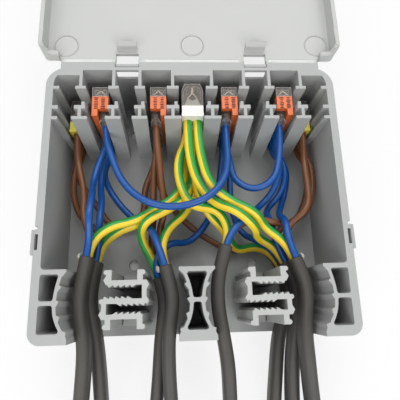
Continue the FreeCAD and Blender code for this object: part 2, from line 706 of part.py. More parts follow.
def row_entries():
    # Middle of each row of bores in X, with the side that the lobe stands on: 1 for the right.
    first, second, third, fourth = divider_positions
    rights = [(-third, 1), (-first, -1), (second, -1), (fourth, -1)]
    entries = []
    for (divider_x, side), gap in zip(rights, row_gaps):
        extra = inner_divider_extra if abs(divider_x) == first else 0
        middle = divider_x - (middle_flange_width + extra) / 2 - gap - row_width / 2
        entries.append((middle + side * (row_width - lobe_width) / 2, side))
    return entries


def entry_columns():
    # Middle of each column of bores, connector by connector from the left, with the heights of its bores.
    rows = [x for x, side in row_entries()]
    return [([-side_entry()], side_rows), (rows[:1], row_rows), (rows[1:2], row_rows),
            ([-earth_column, earth_column], earth_rows), (rows[2:3], row_rows), (rows[3:], row_rows),
            ([side_entry()], side_rows)]


def shell_profile(x, half, tail_half, y0, y1, shoulder_y):
    return [(x - half, y0), (x + half, y0), (x + half, shoulder_y), (x + tail_half, y1),
            (x - tail_half, y1), (x - half, shoulder_y)]


def straight_connector(x, width, height, columns, rows, bore):
    # Connector seen from its end: coloured collar with a notched wedge, and a clear shell around the wedge.
    half = width / 2
    z0 = connector_base
    z1 = z0 + height
    collar_y = connector_front + flange_thickness + collar_length
    tip_y = collar_y + taper_length
    tip_half = half * taper_tip_share
    neck_half = half - housing_skin
    wedge_half = neck_half - joint_gap
    wedge = [(x - wedge_half, collar_y), (x + wedge_half, collar_y), (x + tip_half, tip_y),
             (x, tip_y - tip_notch), (x - tip_half, tip_y)]
    cover = box(x - half, x + half, connector_front, connector_front + flange_thickness, z0, z1)
    collar = box(x - half + joint_gap, x + half - joint_gap, connector_front, collar_y,
                 z0 + joint_gap, z1 - joint_gap)
    plug = prism(wedge, z0 + housing_skin + joint_gap, z1 - housing_skin - joint_gap)
    bores = [entry_bore(column_x, row_z, bore) for column_x in columns for row_z in rows]
    cover = cover.multiFuse([collar, plug]).removeSplitter().cut(bores)
    shell_y = collar_y + joint_gap
    tail_half = half * shell_tail_share
    tail_y = connector_back - shell_tail_length
    shell = prism(shell_profile(x, half - joint_gap, tail_half, shell_y, connector_back, tail_y), z0, z1)
    inside = shell_profile(x, neck_half, tail_half - housing_skin, shell_y - joint_gap,
                           connector_back - housing_skin, tail_y)
    hollow = prism(inside, z0 + housing_skin, z1 - housing_skin)
    contact = straight_contact(x, tip_y + joint_gap, connector_back - housing_skin - fit_gap,
                               tail_half - housing_skin - fit_gap, z0 + contact_inset, z1 - contact_inset)
    return shell.cut(hollow), cover, contact


def straight_contact(x, y0, y1, half, z0, z1):
    # Busbar strip along the rows with a spring leaf bent out on either side.
    bar = contact_thickness / 2
    fork = y0 + (y1 - y0) / 2
    points = [(x - bar, y1), (x - bar, fork), (x - half, y0), (x - half + bar, y0), (x, fork - bar),
              (x + half - bar, y0), (x + half, y0), (x + bar, fork), (x + bar, y1)]
    return prism(points, z0, z1)


def lobed_connector(entry_x, side, rows, bore):
    # Connector with its entries in a clear domed lobe on one side and a coloured cover on the other.
    half = row_width / 2
    x = entry_x - side * (half - lobe_width / 2)
    z0 = connector_base
    z1 = z0 + row_height
    cap_end = connector_back - rear_block_length
    lobe_end = cap_end - cap_length
    lobe_top = z1 - lobe_drop
    lobe = box(entry_x - lobe_width / 2, entry_x + lobe_width / 2, connector_front, cap_end + housing_skin,
               z0, lobe_top)
    domed = [edge for edge in lobe.Edges if edge.BoundBox.ZMin > lobe_top - tolerance
             and edge.BoundBox.YMin < connector_front + tolerance]
    lobe = lobe.makeFillet(lobe_radius, domed)
    block = box(x - half, x + half, cap_end, connector_back, z0, z1)
    hollow = box(x - half + housing_skin, x + half - housing_skin, cap_end + housing_skin,
                 connector_back - housing_skin, z0 + housing_skin, z1 - housing_skin)
    bores = [entry_bore(entry_x, row_z, bore) for row_z in rows]
    housing = lobe.fuse(block).removeSplitter().cut([hollow] + bores)
    plate_outer = x - side * half
    plate_inner = entry_x - side * (lobe_width / 2 + joint_gap)
    plate_x0 = min(plate_outer, plate_inner)
    plate_x1 = max(plate_outer, plate_inner)
    plate = box(plate_x0, plate_x1, connector_front + lobe_radius, cap_end - joint_gap, z0, z1)
    cap = box(x - half, x + half, lobe_end, cap_end - joint_gap, lobe_top + joint_gap, z1)
    cover = plate.fuse(cap).removeSplitter()
    contact = lobed_contact(x, half - housing_skin - fit_gap, cap_end + housing_skin + fit_gap,
                            connector_back - housing_skin - fit_gap, z0 + contact_inset, z1 - contact_inset)
    return housing, cover, contact


def lobed_contact(x, half, y0, y1, z0, z1):
    # Shallow spring strip across the clear block behind the entries.
    bar = contact_thickness / 2
    points = [(x - half, y0), (x - half + bar, y0), (x, y1 - bar), (x + half - bar, y0), (x + half, y0),
              (x + bar, y1), (x - bar, y1)]
    return prism(points, z0, z1)


def make_connectors():
    live_bore = core_diameter + entry_bore_gap
    earth_bore = sleeve_diameter + entry_bore_gap
    sides = [straight_connector(x, side_width, side_height, [x], side_rows, live_bore)
             for x in (-side_entry(), side_entry())]
    lobed = [lobed_connector(entry_x, side, row_rows, live_bore) for entry_x, side in row_entries()]
    earth_columns = [-earth_column, earth_column]
    earth = straight_connector(0, earth_width, earth_height, earth_columns, earth_rows, earth_bore)
    return sides[:1] + lobed[:2] + [earth] + lobed[2:] + sides[1:]


def rounded_route(points):
    # Straight runs joined by tangent arcs, each arc as large as its two runs allow.
    edges = []
    radii = []
    start = points[0]
    for before, corner, after in zip(points, points[1:], points[2:]):
        to_before = before - corner
        to_after = after - corner
        reach = bend_share * min(to_before.Length, to_after.Length)
        half_turn = (math.pi - to_before.getAngle(to_after)) / 2
        radius = reach / math.tan(half_turn)
        to_before.normalize()
        to_after.normalize()
        middle_way = to_before + to_after
        middle_way.normalize()
        arc_start = corner + to_before * reach
        arc_end = corner + to_after * reach
        arc_middle = corner + middle_way * (radius / math.cos(half_turn) - radius)
        edges.append(Part.LineSegment(start, arc_start).toShape())
        edges.append(Part.Arc(arc_start, arc_middle, arc_end).toShape())
        radii.append(radius)
        start = arc_end
    edges.append(Part.LineSegment(start, points[-1]).toShape())
    return Part.Wire(edges), min(radii)


def sweep(profile, path, upright):
    pipe = Part.BRepOffsetAPI.MakePipeShell(path)
    if upright:
        pipe.setBiNormalMode(V(0, 0, 1))
    pipe.add(profile)
    pipe.build()
    pipe.makeSolid()
    return pipe.shape()


def report_cord(name, solid, path, area, radius):
    ratio = solid.Volume / (area * path.Length)
    print(name, "length", round(path.Length, 1), "smallest radius", round(radius, 1),
          "volume share", round(ratio, 3))


def make_core(name, points, diameter):
    path, radius = rounded_route(points)
    circle = Part.Wire([Part.makeCircle(diameter / 2, points[0], points[1] - points[0])])
    solid = sweep(circle, path, False)
    report_cord(name, solid, path, math.pi * diameter ** 2 / 4, radius)
    return solid


def make_sheath(name, points):
    # Flat cable standing on edge: two straight sides joined by half circles.
    path, radius = rounded_route(points)
    start = points[0]
    along = points[1] - start
    along.normalize()
    across = along.cross(V(0, 0, 1))
    across.normalize()
    up = across.cross(along)
    r = sheath_width / 2
    h = sheath_height / 2 - r
    corners = [start + across * sx * r + up * sz * h for sx, sz in ((1, -1), (1, 1), (-1, 1), (-1, -1))]
    edges = [
        Part.LineSegment(corners[0], corners[1]).toShape(),
        Part.Arc(corners[1], start + up * (h + r), corners[2]).toShape(),
        Part.LineSegment(corners[2], corners[3]).toShape(),
        Part.Arc(corners[3], start - up * (h + r), corners[0]).toShape(),
    ]
    solid = sweep(Part.Wire(edges), path, True)
    report_cord(name, solid, path, 2 * h * sheath_width + math.pi * r * r, radius)
    return solid


def sheath_path(side, points):
    start_x = {"left": -inner_half, "middle": 0, "right": inner_half}[side]
    return [V(start_x + x, front + y, z) for x, y, z in points]


def bore_end(name):
    # Bore 4b2 is the second from the floor in the right column of connector 4.
    number, column, row = name
    columns, rows = entry_columns()[int(number) - 1]
    return V(columns["ab".index(column)], connector_front + entry_depth, rows[int(row) - 1])


def carried(x, y, z):
    # Where a point of a route goes when the tray is wider or longer than the one it was laid for.
    side_share = (abs(x) - steady_half) / (carried_half - steady_half)
    length_share = (y - block_length) / (laid_length - front_plate_from_back - block_length)
    side_shift = (inner_half - laid_inner_half) * min(max(side_share, 0), 1)
    length_shift = (tray_length - laid_length) * min(max(length_share, 0), 1)
    outwards = math.copysign(1, x)
    return V(x + outwards * side_shift, front + y + length_shift, z)


def between(points, start, end):
    # Way-points of a route; what its two ends move beyond them fades out along it.
    placed = [carried(x, y, z) for x, y, z in points]
    start_shift = start - placed[0]
    end_shift = end - placed[-1]
    last = len(placed) - 1
    shares = [index / last for index in range(len(placed))]
    moved = [point + start_shift * (1 - share) ** shift_fade + end_shift * share ** shift_fade
             for point, share in zip(placed, shares)]
    return moved[1:-1]


def core_path(sheath, height, bore, points):
    # Out along the sheath's own direction, by way of the route's points, and straight into the bore.
    lead = sheath[0] - sheath[1]
    lead.normalize()
    start = sheath[0] + V(0, 0, height)
    end = bore_end(bore)
    return [start, start + lead * core_lead] + between(points, start, end) + [end - V(0, bore_lead, 0), end]


def link_path(start_bore, end_bore, points):
    start = bore_end(start_bore)
    end = bore_end(end_bore)
    lead = V(0, bore_lead, 0)
    return [start, start - lead] + between(points, start, end) + [end - lead, end]


save("base_tray", make_tray())
save("lid", make_lid())
right_clamp = make_clamp()
save("cable_clamp_right", right_clamp)
save("cable_clamp_left", mirrored(right_clamp))
for number, (housing, cover, contact) in enumerate(make_connectors(), 1):
    save("connector_%d_housing" % number, housing)
    save("connector_%d_cover" % number, cover)
    save("connector_%d_contact" % number, contact)
sheaths = [sheath_path(side, points) for side, points in sheath_routes]
for number, points in enumerate(sheaths, 1):
    name = "cable_%d" % number
    save(name, make_sheath(name, points))
kinds = [("live_core", live_routes, core_diameter, -core_spread),
         ("neutral_core", neutral_routes, core_diameter, core_spread),
         ("earth_core", earth_routes, sleeve_diameter, 0)]
for kind, routes, diameter, height in kinds:
    for number, (bore, points) in enumerate(routes, 1):
        name = "%s_%d" % (kind, number)
        save(name, make_core(name, core_path(sheaths[number - 1], height, bore, points), diameter))
for name, (start_bore, end_bore, points) in link_routes.items():
    save(name, make_core(name, link_path(start_bore, end_bore, points), core_diameter))
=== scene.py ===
import math
import bmesh
import bpy
from mathutils import Matrix, Vector


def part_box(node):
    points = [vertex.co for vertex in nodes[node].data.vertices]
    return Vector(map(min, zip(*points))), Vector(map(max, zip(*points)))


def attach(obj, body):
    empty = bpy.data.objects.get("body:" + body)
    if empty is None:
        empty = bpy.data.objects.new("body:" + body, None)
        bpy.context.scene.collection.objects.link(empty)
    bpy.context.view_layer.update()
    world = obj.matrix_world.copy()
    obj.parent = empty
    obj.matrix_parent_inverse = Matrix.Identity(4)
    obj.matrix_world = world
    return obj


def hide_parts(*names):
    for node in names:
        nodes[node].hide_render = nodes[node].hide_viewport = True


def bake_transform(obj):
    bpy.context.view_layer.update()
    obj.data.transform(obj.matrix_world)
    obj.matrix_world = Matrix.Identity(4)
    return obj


# Hinged junction box with its push-in connectors, flat cables and cores
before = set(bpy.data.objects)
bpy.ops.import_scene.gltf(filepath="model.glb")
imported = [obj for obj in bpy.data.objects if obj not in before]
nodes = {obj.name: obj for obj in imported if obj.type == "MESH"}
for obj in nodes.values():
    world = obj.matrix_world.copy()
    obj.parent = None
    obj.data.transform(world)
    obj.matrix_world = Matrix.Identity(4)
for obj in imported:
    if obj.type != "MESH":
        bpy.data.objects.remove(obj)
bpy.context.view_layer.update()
scene = bpy.context.scene
print("frame loaded:", len(nodes), "nodes")

# Camera
cameraView = {
    "place": (-0.00638, -0.04165, 0.18637),
    "forward": (0.0537, 0.2523, -0.9662),
    "up": (0.0148, 0.9673, 0.2534),
    "lens": 35.93,
    "sensor": 36.0,
    "clipStart": 0.005,
}


def makeCamera(values):
    camera = bpy.data.cameras.new("camera")
    camera.lens = values["lens"]
    camera.sensor_width = values["sensor"]
    camera.clip_start = values["clipStart"]
    forward = Vector(values["forward"]).normalized()
    right = forward.cross(Vector(values["up"])).normalized()
    up = right.cross(forward)
    holder = bpy.data.objects.new("camera", camera)
    turn = Matrix((right, up, -forward)).transposed()
    holder.matrix_world = Matrix.Translation(values["place"]) @ turn.to_4x4()
    scene.collection.objects.link(holder)
    scene.camera = holder


makeCamera(cameraView)
print("camera placed")

# Routes, in metres
# Middle line of each flat cable, from its stripped end out over the front of the tray
cableRoutes = [
    [(-0.0424, -0.0225, 0.0265), (-0.0436, -0.0294, 0.0265), (-0.0447, -0.0373, 0.0265), (-0.0443, -0.0455, 0.0258),
     (-0.0428, -0.0534, 0.0249), (-0.0426, -0.0606, 0.024), (-0.0435, -0.0705, 0.0214), (-0.0451, -0.082, 0.0164),
     (-0.0466, -0.094, 0.0106), (-0.0477, -0.105, 0.0065), (-0.0482, -0.115, 0.0049)],
    [(-0.0407, -0.0235, 0.017), (-0.0421, -0.0308, 0.017), (-0.043, -0.0388, 0.017), (-0.0417, -0.0466, 0.0162),
     (-0.0401, -0.0544, 0.0152), (-0.0393, -0.0612, 0.014), (-0.0386, -0.071, 0.0116), (-0.0382, -0.082, 0.0084),
     (-0.0374, -0.0935, 0.0059), (-0.0377, -0.1045, 0.0049), (-0.0369, -0.1145, 0.0048)],
    [(-0.0121, -0.0267, 0.0265), (-0.0102, -0.0326, 0.0265), (-0.0089, -0.0398, 0.0265), (-0.01, -0.0473, 0.0255),
     (-0.0108, -0.0546, 0.0245), (-0.0109, -0.0619, 0.0235), (-0.0106, -0.072, 0.0206), (-0.0099, -0.083, 0.0156),
     (-0.0089, -0.0945, 0.0103), (-0.0086, -0.106, 0.0063), (-0.0092, -0.1165, 0.0049)],
    [(-0.015, -0.0307, 0.017), (-0.0133, -0.036, 0.017), (-0.0126, -0.042, 0.017), (-0.0134, -0.0483, 0.0165),
     (-0.0143, -0.0552, 0.016), (-0.0147, -0.0613, 0.0155), (-0.0154, -0.071, 0.0134), (-0.0166, -0.082, 0.0099),
     (-0.018, -0.0935, 0.0067), (-0.0189, -0.1045, 0.0051), (-0.0191, -0.1145, 0.0048)],
    [(0.0123, -0.0194, 0.0275), (0.01, -0.0265, 0.0275), (0.0083, -0.0346, 0.0275), (0.0083, -0.0426, 0.0265),
     (0.0096, -0.0508, 0.0255), (0.0109, -0.0589, 0.0245), (0.0117, -0.0662, 0.0235), (0.0121, -0.076, 0.0204),
     (0.0126, -0.087, 0.0153), (0.0136, -0.0985, 0.0099), (0.0149, -0.1095, 0.0062), (0.0158, -0.1195, 0.0049)],
    [(0.039, -0.0279, 0.0075), (0.0411, -0.0345, 0.0075), (0.041, -0.041, 0.0075), (0.0387, -0.0477, 0.0075),
     (0.036, -0.0542, 0.0075), (0.0345, -0.0615, 0.0075), (0.0332, -0.0715, 0.0069), (0.0319, -0.0825, 0.0059),
     (0.0314, -0.094, 0.0052), (0.0308, -0.105, 0.0048), (0.0297, -0.115, 0.0048)],
    [(0.038, -0.0253, 0.0173), (0.0413, -0.0321, 0.0173), (0.0427, -0.0399, 0.0173), (0.0417, -0.0475, 0.017),
     (0.0399, -0.0553, 0.0165), (0.0388, -0.063, 0.0154), (0.0384, -0.073, 0.0129), (0.0386, -0.084, 0.0096),
     (0.0391, -0.0955, 0.0066), (0.039, -0.1065, 0.0051), (0.0382, -0.1165, 0.0048)],
    [(0.0395, -0.0248, 0.0275), (0.0422, -0.0316, 0.0275), (0.043, -0.0397, 0.0275), (0.0422, -0.0473, 0.0265),
     (0.0416, -0.0547, 0.0259), (0.0421, -0.0621, 0.0249), (0.043, -0.072, 0.0222), (0.0449, -0.083, 0.0173),
     (0.0471, -0.0945, 0.0115), (0.0485, -0.1055, 0.007), (0.0493, -0.1155, 0.005)],
]

# A core starts in its cable's mouth, parts there from the two others, and ends straight in its connector
coreEnds = {
    "lift": {"live": -0.0031, "neutral": 0.0031, "earth": 0.0},
    "partings": [(-0.04129, -0.0161), (-0.03948, -0.01712), (-0.01409, -0.02051), (-0.01699, -0.02451),
                 (0.0143, -0.01322), (0.03703, -0.02171), (0.03516, -0.01945), (0.0371, -0.01876)],
    "entryY": (0.0279, 0.0359),
}

# Points of each core between its two ends, then the x and z of the entry that it goes into
coreRoutes = {
    "live": [
        ([(-0.0462, -0.0058, 0.0217), (-0.0461, 0.0057, 0.0212), (-0.0489, 0.0169, 0.0222)], (-0.0508, 0.0195)),
        ([(-0.042, -0.0092, 0.0076), (-0.0502, -0.0029, 0.0103), (-0.053, 0.0068, 0.0136),
          (-0.0524, 0.0174, 0.0144)], (-0.0508, 0.0133)),
        ([(-0.0149, -0.0117, 0.018), (-0.012, -0.0023, 0.0209), (-0.0135, 0.0078, 0.023),
          (-0.0143, 0.0176, 0.0264)], (-0.0155, 0.0275)),
        ([(-0.0187, -0.014, 0.0115), (-0.0172, -0.0038, 0.0148), (-0.0173, 0.0064, 0.0185),
          (-0.0167, 0.0171, 0.0204)], (-0.0155, 0.021)),
        ([(0.0243, -0.0071, 0.0246), (0.0355, -0.0102, 0.0249), (0.0409, -0.009, 0.0145), (0.0511, -0.0033, 0.0153),
          (0.0544, 0.0072, 0.0154), (0.0544, 0.0188, 0.0162)], (0.0508, 0.0133)),
        ([(0.028, -0.0163, 0.0036), (0.0179, -0.0192, 0.0049), (0.0085, -0.0143, 0.0056), (-0.0002, -0.0083, 0.0063),
          (-0.0077, -0.0009, 0.0076), (-0.0137, 0.0076, 0.0098), (-0.0162, 0.0174, 0.0129)], (-0.0155, 0.0145)),
        ([(0.0371, -0.0106, 0.0103), (0.0465, -0.0069, 0.01), (0.0518, 0.0015, 0.0095), (0.0544, 0.011, 0.0094),
          (0.0544, 0.0207, 0.0101)], (0.0508, 0.0071)),
        ([(0.0403, -0.0099, 0.02), (0.0483, -0.0041, 0.0249), (0.0502, 0.0063, 0.0217),
          (0.0492, 0.0173, 0.0222)], (0.0508, 0.0195)),
    ],
    "neutral": [
        ([(-0.0409, -0.0076, 0.0354), (-0.0407, 0.0016, 0.0308), (-0.0424, 0.0084, 0.0234),
          (-0.0404, 0.0184, 0.022)], (-0.037, 0.021)),
        ([(-0.0386, -0.009, 0.0267), (-0.0383, 0.0004, 0.0228), (-0.0403, 0.0084, 0.0169),
          (-0.0402, 0.0184, 0.0157)], (-0.037, 0.0145)),
        ([(-0.0177, -0.0108, 0.025), (-0.021, -0.009, 0.0143), (-0.0296, -0.0016, 0.0132), (-0.0365, 0.0074, 0.0128),
          (-0.041, 0.0175, 0.0101)], (-0.037, 0.008)),
        ([(-0.0111, -0.0161, 0.0194), (-0.002, -0.0159, 0.0115), (0.0063, -0.0071, 0.0126), (0.0108, 0.0041, 0.0123),
          (0.013, 0.0159, 0.0137)], (0.0145, 0.0145)),
        ([(0.0237, -0.0062, 0.0299), (0.0269, -0.0029, 0.0188), (0.0355, 0.0051, 0.0189),
          (0.039, 0.0162, 0.0215)], (0.038, 0.021)),
        ([(0.029, -0.0155, 0.0132), (0.0225, -0.0115, 0.0063), (0.0182, -0.0024, 0.0082), (0.0175, 0.0079, 0.0083),
          (0.018, 0.0182, 0.008)], (0.0145, 0.008)),
        ([(0.0323, -0.0086, 0.0226), (0.0322, -0.0018, 0.013), (0.0408, 0.0062, 0.0129),
          (0.0432, 0.0174, 0.0151)], (0.038, 0.0145)),
        ([(0.0372, -0.0086, 0.0282), (0.0368, -0.0057, 0.0183), (0.0404, 0.0009, 0.011), (0.0441, 0.0102, 0.0084),
          (0.0454, 0.0205, 0.0079)], (0.038, 0.008)),
    ],
    "earth": [
        ([(-0.0339, -0.0103, 0.0274), (-0.0249, -0.0081, 0.0248), (-0.0166, -0.0034, 0.0245),
          (-0.0083, 0.0014, 0.0244), (-0.004, 0.0094, 0.0213), (-0.0038, 0.0187, 0.0192)], (-0.0021, 0.017)),
        ([(-0.0322, -0.0109, 0.0186), (-0.0233, -0.0086, 0.022), (-0.0158, -0.004, 0.0178), (-0.0073, 0.0003, 0.0155),
          (-0.003, 0.009, 0.0141), (-0.0036, 0.0185, 0.012)], (-0.0021, 0.0095)),
        ([(-0.0113, -0.0108, 0.022), (-0.0033, -0.0038, 0.0181), (0.0007, 0.0062, 0.015),
          (0.0014, 0.017, 0.0121)], (0.0021, 0.0095)),
        ([(-0.0227, -0.0145, 0.0176), (-0.0206, -0.0086, 0.0278), (-0.0094, -0.0035, 0.0278),
          (-0.0014, 0.0041, 0.0224), (0.0012, 0.016, 0.0204)], (0.0021, 0.017)),
        ([(0.0097, -0.0039, 0.0275), (-0.0014, -0.0033, 0.0287), (-0.0059, 0.0068, 0.0275),
          (-0.0066, 0.0178, 0.026)], (-0.0021, 0.0245)),
        ([(0.0278, -0.0169, 0.0099), (0.0178, -0.0201, 0.0142), (0.0134, -0.0128, 0.0218), (0.0056, -0.0049, 0.024),
          (0.001, 0.0053, 0.0258), (0.0013, 0.0167, 0.0256)], (0.0021, 0.0245)),
        ([(0.0261, -0.0147, 0.0199), (0.0244, -0.0129, 0.031), (0.0166, -0.0066, 0.0356), (0.0082, -0.0023, 0.0297),
          (0.0013, 0.0063, 0.0302), (-0.0015, 0.0169, 0.0311)], (-0.0021, 0.032)),
        ([(0.029, -0.0116, 0.025), (0.0239, -0.0067, 0.0337), (0.0143, -0.0016, 0.0313), (0.0062, 0.0061, 0.031),
          (0.0031, 0.0168, 0.0323)], (0.0021, 0.032)),
    ],
}

# The same for each link, which has an entry at both ends
linkRoutes = {
    "neutral_link_left": (
        (-0.037, 0.0275),
        [(-0.0337, 0.018, 0.0291), (-0.0299, 0.0083, 0.0313), (-0.0234, 0.0003, 0.0334), (-0.014, -0.0045, 0.0347),
         (-0.0034, -0.0046, 0.0352), (0.0065, -0.0006, 0.0353), (0.0128, 0.0077, 0.0333),
         (0.0146, 0.0175, 0.0297)], (0.0145, 0.0275)),
    "neutral_link_right": (
        (0.0145, 0.021),
        [(0.0162, 0.0183, 0.0229), (0.0172, 0.0086, 0.0251), (0.0257, 0.0037, 0.0265), (0.0344, 0.0084, 0.0275),
         (0.037, 0.018, 0.0275)], (0.038, 0.0275)),
    "live_link": (
        (-0.0508, 0.0071),
        [(-0.0531, 0.0188, 0.0101), (-0.0491, 0.0098, 0.0095), (-0.0428, 0.0022, 0.0084), (-0.0378, -0.0063, 0.0073),
         (-0.0281, -0.0078, 0.0067), (-0.0216, -0.0004, 0.007), (-0.0224, 0.0094, 0.0077),
         (-0.0188, 0.0186, 0.0081)], (-0.0155, 0.008)),
}


def entryPoints(x, z):
    # Straight into a connector
    return [(x, y, z) for y in coreEnds["entryY"]]


def coreRoute(kind, number):
    x, y, z = cableRoutes[number - 1][0]
    z += coreEnds["lift"][kind]
    between, entry = coreRoutes[kind][number - 1]
    return [(x, y, z), (*coreEnds["partings"][number - 1], z), *between, *entryPoints(*entry)]


def linkRoute(name):
    firstEntry, between, lastEntry = linkRoutes[name]
    return [*reversed(entryPoints(*firstEntry)), *between, *entryPoints(*lastEntry)]


# Small helpers
def tone(red, green, blue):
    # A colour as it reads on a screen, 0 to 255, turned into Blender's linear values
    linear = []
    for level in (red, green, blue):
        share = level / 255
        linear.append(share / 12.92 if share <= 0.04045 else ((share + 0.055) / 1.055) ** 2.4)
    return (*linear, 1.0)


def linkObject(name, mesh):
    piece = bpy.data.objects.new(name, mesh)
    scene.collection.objects.link(piece)
    return piece


def routeLine(points):
    # Points along the smooth middle line of a route
    detail = 10  # steps of the line for each point of the route
    curve = bpy.data.curves.new("route", "CURVE")
    curve.dimensions = "3D"
    spline = curve.splines.new("NURBS")
    spline.points.add(len(points) - 1)
    for target, point in zip(spline.points, points):
        target.co = (*point, 1.0)
    spline.order_u = 3
    spline.use_endpoint_u = True
    spline.resolution_u = detail
    curve.resolution_u = detail
    holder = bpy.data.objects.new("route", curve)
    scene.collection.objects.link(holder)
    bpy.context.view_layer.update()
    mesh = bpy.data.meshes.new_from_object(holder)
    line = [vertex.co.copy() for vertex in mesh.vertices]
    bpy.data.objects.remove(holder)
    bpy.data.curves.remove(curve)
    bpy.data.meshes.remove(mesh)
    return line


# Node helpers, where an underscore in a socket's name stands for a space
def feed(tree, socket, value):
    # Another node's output is linked, and anything else is set on the socket itself
    if hasattr(value, "is_output"):
        tree.links.new(value, socket)
    else:
        socket.default_value = value


def feedNode(tree, node, **sockets):
    for key, value in sockets.items():
        feed(tree, node.inputs[key.replace("_", " ")], value)
    return node


def feedInTurn(tree, node, *values):
    for socket, value in zip(node.inputs, values):
        feed(tree, socket, value)
    return node


def addNode(tree, kind, settings=None, **sockets):
    node = tree.nodes.new(kind)
    for key, value in (settings or {}).items():
        setattr(node, key, value)
    return feedNode(tree, node, **sockets)


def mathNode(tree, operation, *values, clamp=False):
    node = addNode(tree, "ShaderNodeMath", {"operation": operation, "use_clamp": clamp})
    return feedInTurn(tree, node, *values).outputs[0]


def mixColours(tree, share, first, second):
    node = addNode(tree, "ShaderNodeMix", {"data_type": "RGBA"})
    for index, value in ((0, share), (6, first), (7, second)):
        feed(tree, node.inputs[index], value)
    return node.outputs[2]


def mixShaders(tree, share, first, second):
    return feedInTurn(tree, addNode(tree, "ShaderNodeMixShader"), share, first, second).outputs[0]


socketKinds = {float: "Float", int: "Int", tuple: "Vector"}


def newTree(kind, name, inputs, outputs):
    # An input's kind follows from its first value, or is named where it has none
    tree = bpy.data.node_groups.new(name, kind)
    for label, value in inputs.items():
        named = isinstance(value, str)
        socketType = "NodeSocket" + (value if named else socketKinds[type(value)])
        socket = tree.interface.new_socket(name=label, in_out="INPUT", socket_type=socketType)
        if not named:
            socket.default_value = value
    for label, outputKind in outputs.items():
        tree.interface.new_socket(name=label, in_out="OUTPUT", socket_type="NodeSocket" + outputKind)
    return tree, tree.nodes.new("NodeGroupInput").outputs, tree.nodes.new("NodeGroupOutput")


# Shader groups
def makeMouldedGrain():
    # Fine matt texture of a mould, and the slow change of shade over a large wall
    group, given, result = newTree("ShaderNodeTree", "mouldedGrain", {"Grain Scale": 2500.0, "Cloud Scale": 35.0},
                                   {"Height": "Float", "Cloud": "Float"})
    place = addNode(group, "ShaderNodeTexCoord").outputs["Object"]
    fine = addNode(group, "ShaderNodeTexNoise", Vector=place, Scale=given["Grain Scale"], Detail=3.0, Roughness=0.6)
    slow = addNode(group, "ShaderNodeTexNoise", Vector=place, Scale=given["Cloud Scale"], Detail=4.0, Roughness=0.55)
    feedNode(group, result, Height=fine.outputs["Fac"], Cloud=slow.outputs["Fac"])
    return group


def makeSoftEdge():
    # Rounds the moulded edges in the light and says where they are, for a painted highlight along them
    group, given, result = newTree("ShaderNodeTree", "softEdge", {"Radius": 0.0004, "Gain": 4.0},
                                   {"Mask": "Float", "Normal": "Vector"})
    bevel = addNode(group, "ShaderNodeBevel", {"samples": 6}, Radius=given["Radius"])
    surface = addNode(group, "ShaderNodeNewGeometry")
    dot = addNode(group, "ShaderNodeVectorMath", {"operation": "DOT_PRODUCT"})
    feedInTurn(group, dot, bevel.outputs["Normal"], surface.outputs["Normal"])
    bent = mathNode(group, "SUBTRACT", 1.0, dot.outputs["Value"])
    mask = mathNode(group, "MULTIPLY", bent, given["Gain"], clamp=True)
    feedNode(group, result, Mask=mask, Normal=bevel.outputs["Normal"])
    return group


def makeLengthwiseMarks():
    # Streaks that run along a wire or a sheath, from its own along and around attributes
    group, given, result = newTree("ShaderNodeTree", "lengthwiseMarks", {"Along Scale": 60.0, "Around Scale": 3.0},
                                   {"Streak": "Float", "Height": "Float", "Angle": "Float", "Along": "Float"})
    along = addNode(group, "ShaderNodeAttribute", {"attribute_name": "along"}).outputs["Fac"]
    around = addNode(group, "ShaderNodeAttribute", {"attribute_name": "around"})
    parts = addNode(group, "ShaderNodeSeparateXYZ", Vector=around.outputs["Vector"])
    across, upwards = parts.outputs["X"], parts.outputs["Y"]
    stretched = [mathNode(group, "MULTIPLY", value, given[scale]) for value, scale in
                 ((across, "Around Scale"), (upwards, "Around Scale"), (along, "Along Scale"))]
    place = feedInTurn(group, addNode(group, "ShaderNodeCombineXYZ"), *stretched).outputs[0]
    streak = addNode(group, "ShaderNodeTexNoise", Vector=place, Scale=1.0, Detail=3.0, Roughness=0.6)
    fine = addNode(group, "ShaderNodeTexNoise", Vector=place, Scale=9.0, Detail=2.0, Roughness=0.5)
    feedNode(group, result, Streak=streak.outputs["Fac"], Height=fine.outputs["Fac"],
             Angle=mathNode(group, "ARCTAN2", upwards, across), Along=along)
    return group


mouldedGrain = makeMouldedGrain()
softEdge = makeSoftEdge()
lengthwiseMarks = makeLengthwiseMarks()


def placeGroup(tree, group, **sockets):
    return addNode(tree, "ShaderNodeGroup", {"node_tree": group}, **sockets)


# Materials
def startMaterial(name, **sockets):
    material = bpy.data.materials.new(name)
    material.use_nodes = True
    tree = material.node_tree
    tree.nodes.clear()
    shader = addNode(tree, "ShaderNodeBsdfPrincipled", **sockets)
    addNode(tree, "ShaderNodeOutputMaterial", Surface=shader.outputs["BSDF"])
    return material, tree, shader


def cloudyShade(tree, values):
    # The grain at a material's own scales, and its shade, which wanders between the dark and the light one
    grain = placeGroup(tree, mouldedGrain, Grain_Scale=values["grainScale"], Cloud_Scale=values["cloudScale"])
    return grain, mixColours(tree, grain.outputs["Cloud"], values["darkShade"], values["lightShade"])


noiseRange = {"From_Min": 0.3, "From_Max": 0.7}  # nearly all of a noise lies between these


def spreadRoughness(tree, noise, values):
    spread = addNode(tree, "ShaderNodeMapRange", Value=noise, To_Min=values["roughLow"], To_Max=values["roughHigh"],
                     **noiseRange)
    return spread.outputs["Result"]


def bumpNormal(tree, height, values, **normal):
    bump = addNode(tree, "ShaderNodeBump", Strength=values["bump"], Distance=values["bumpDepth"], Height=height,
                   **normal)
    return bump.outputs["Normal"]


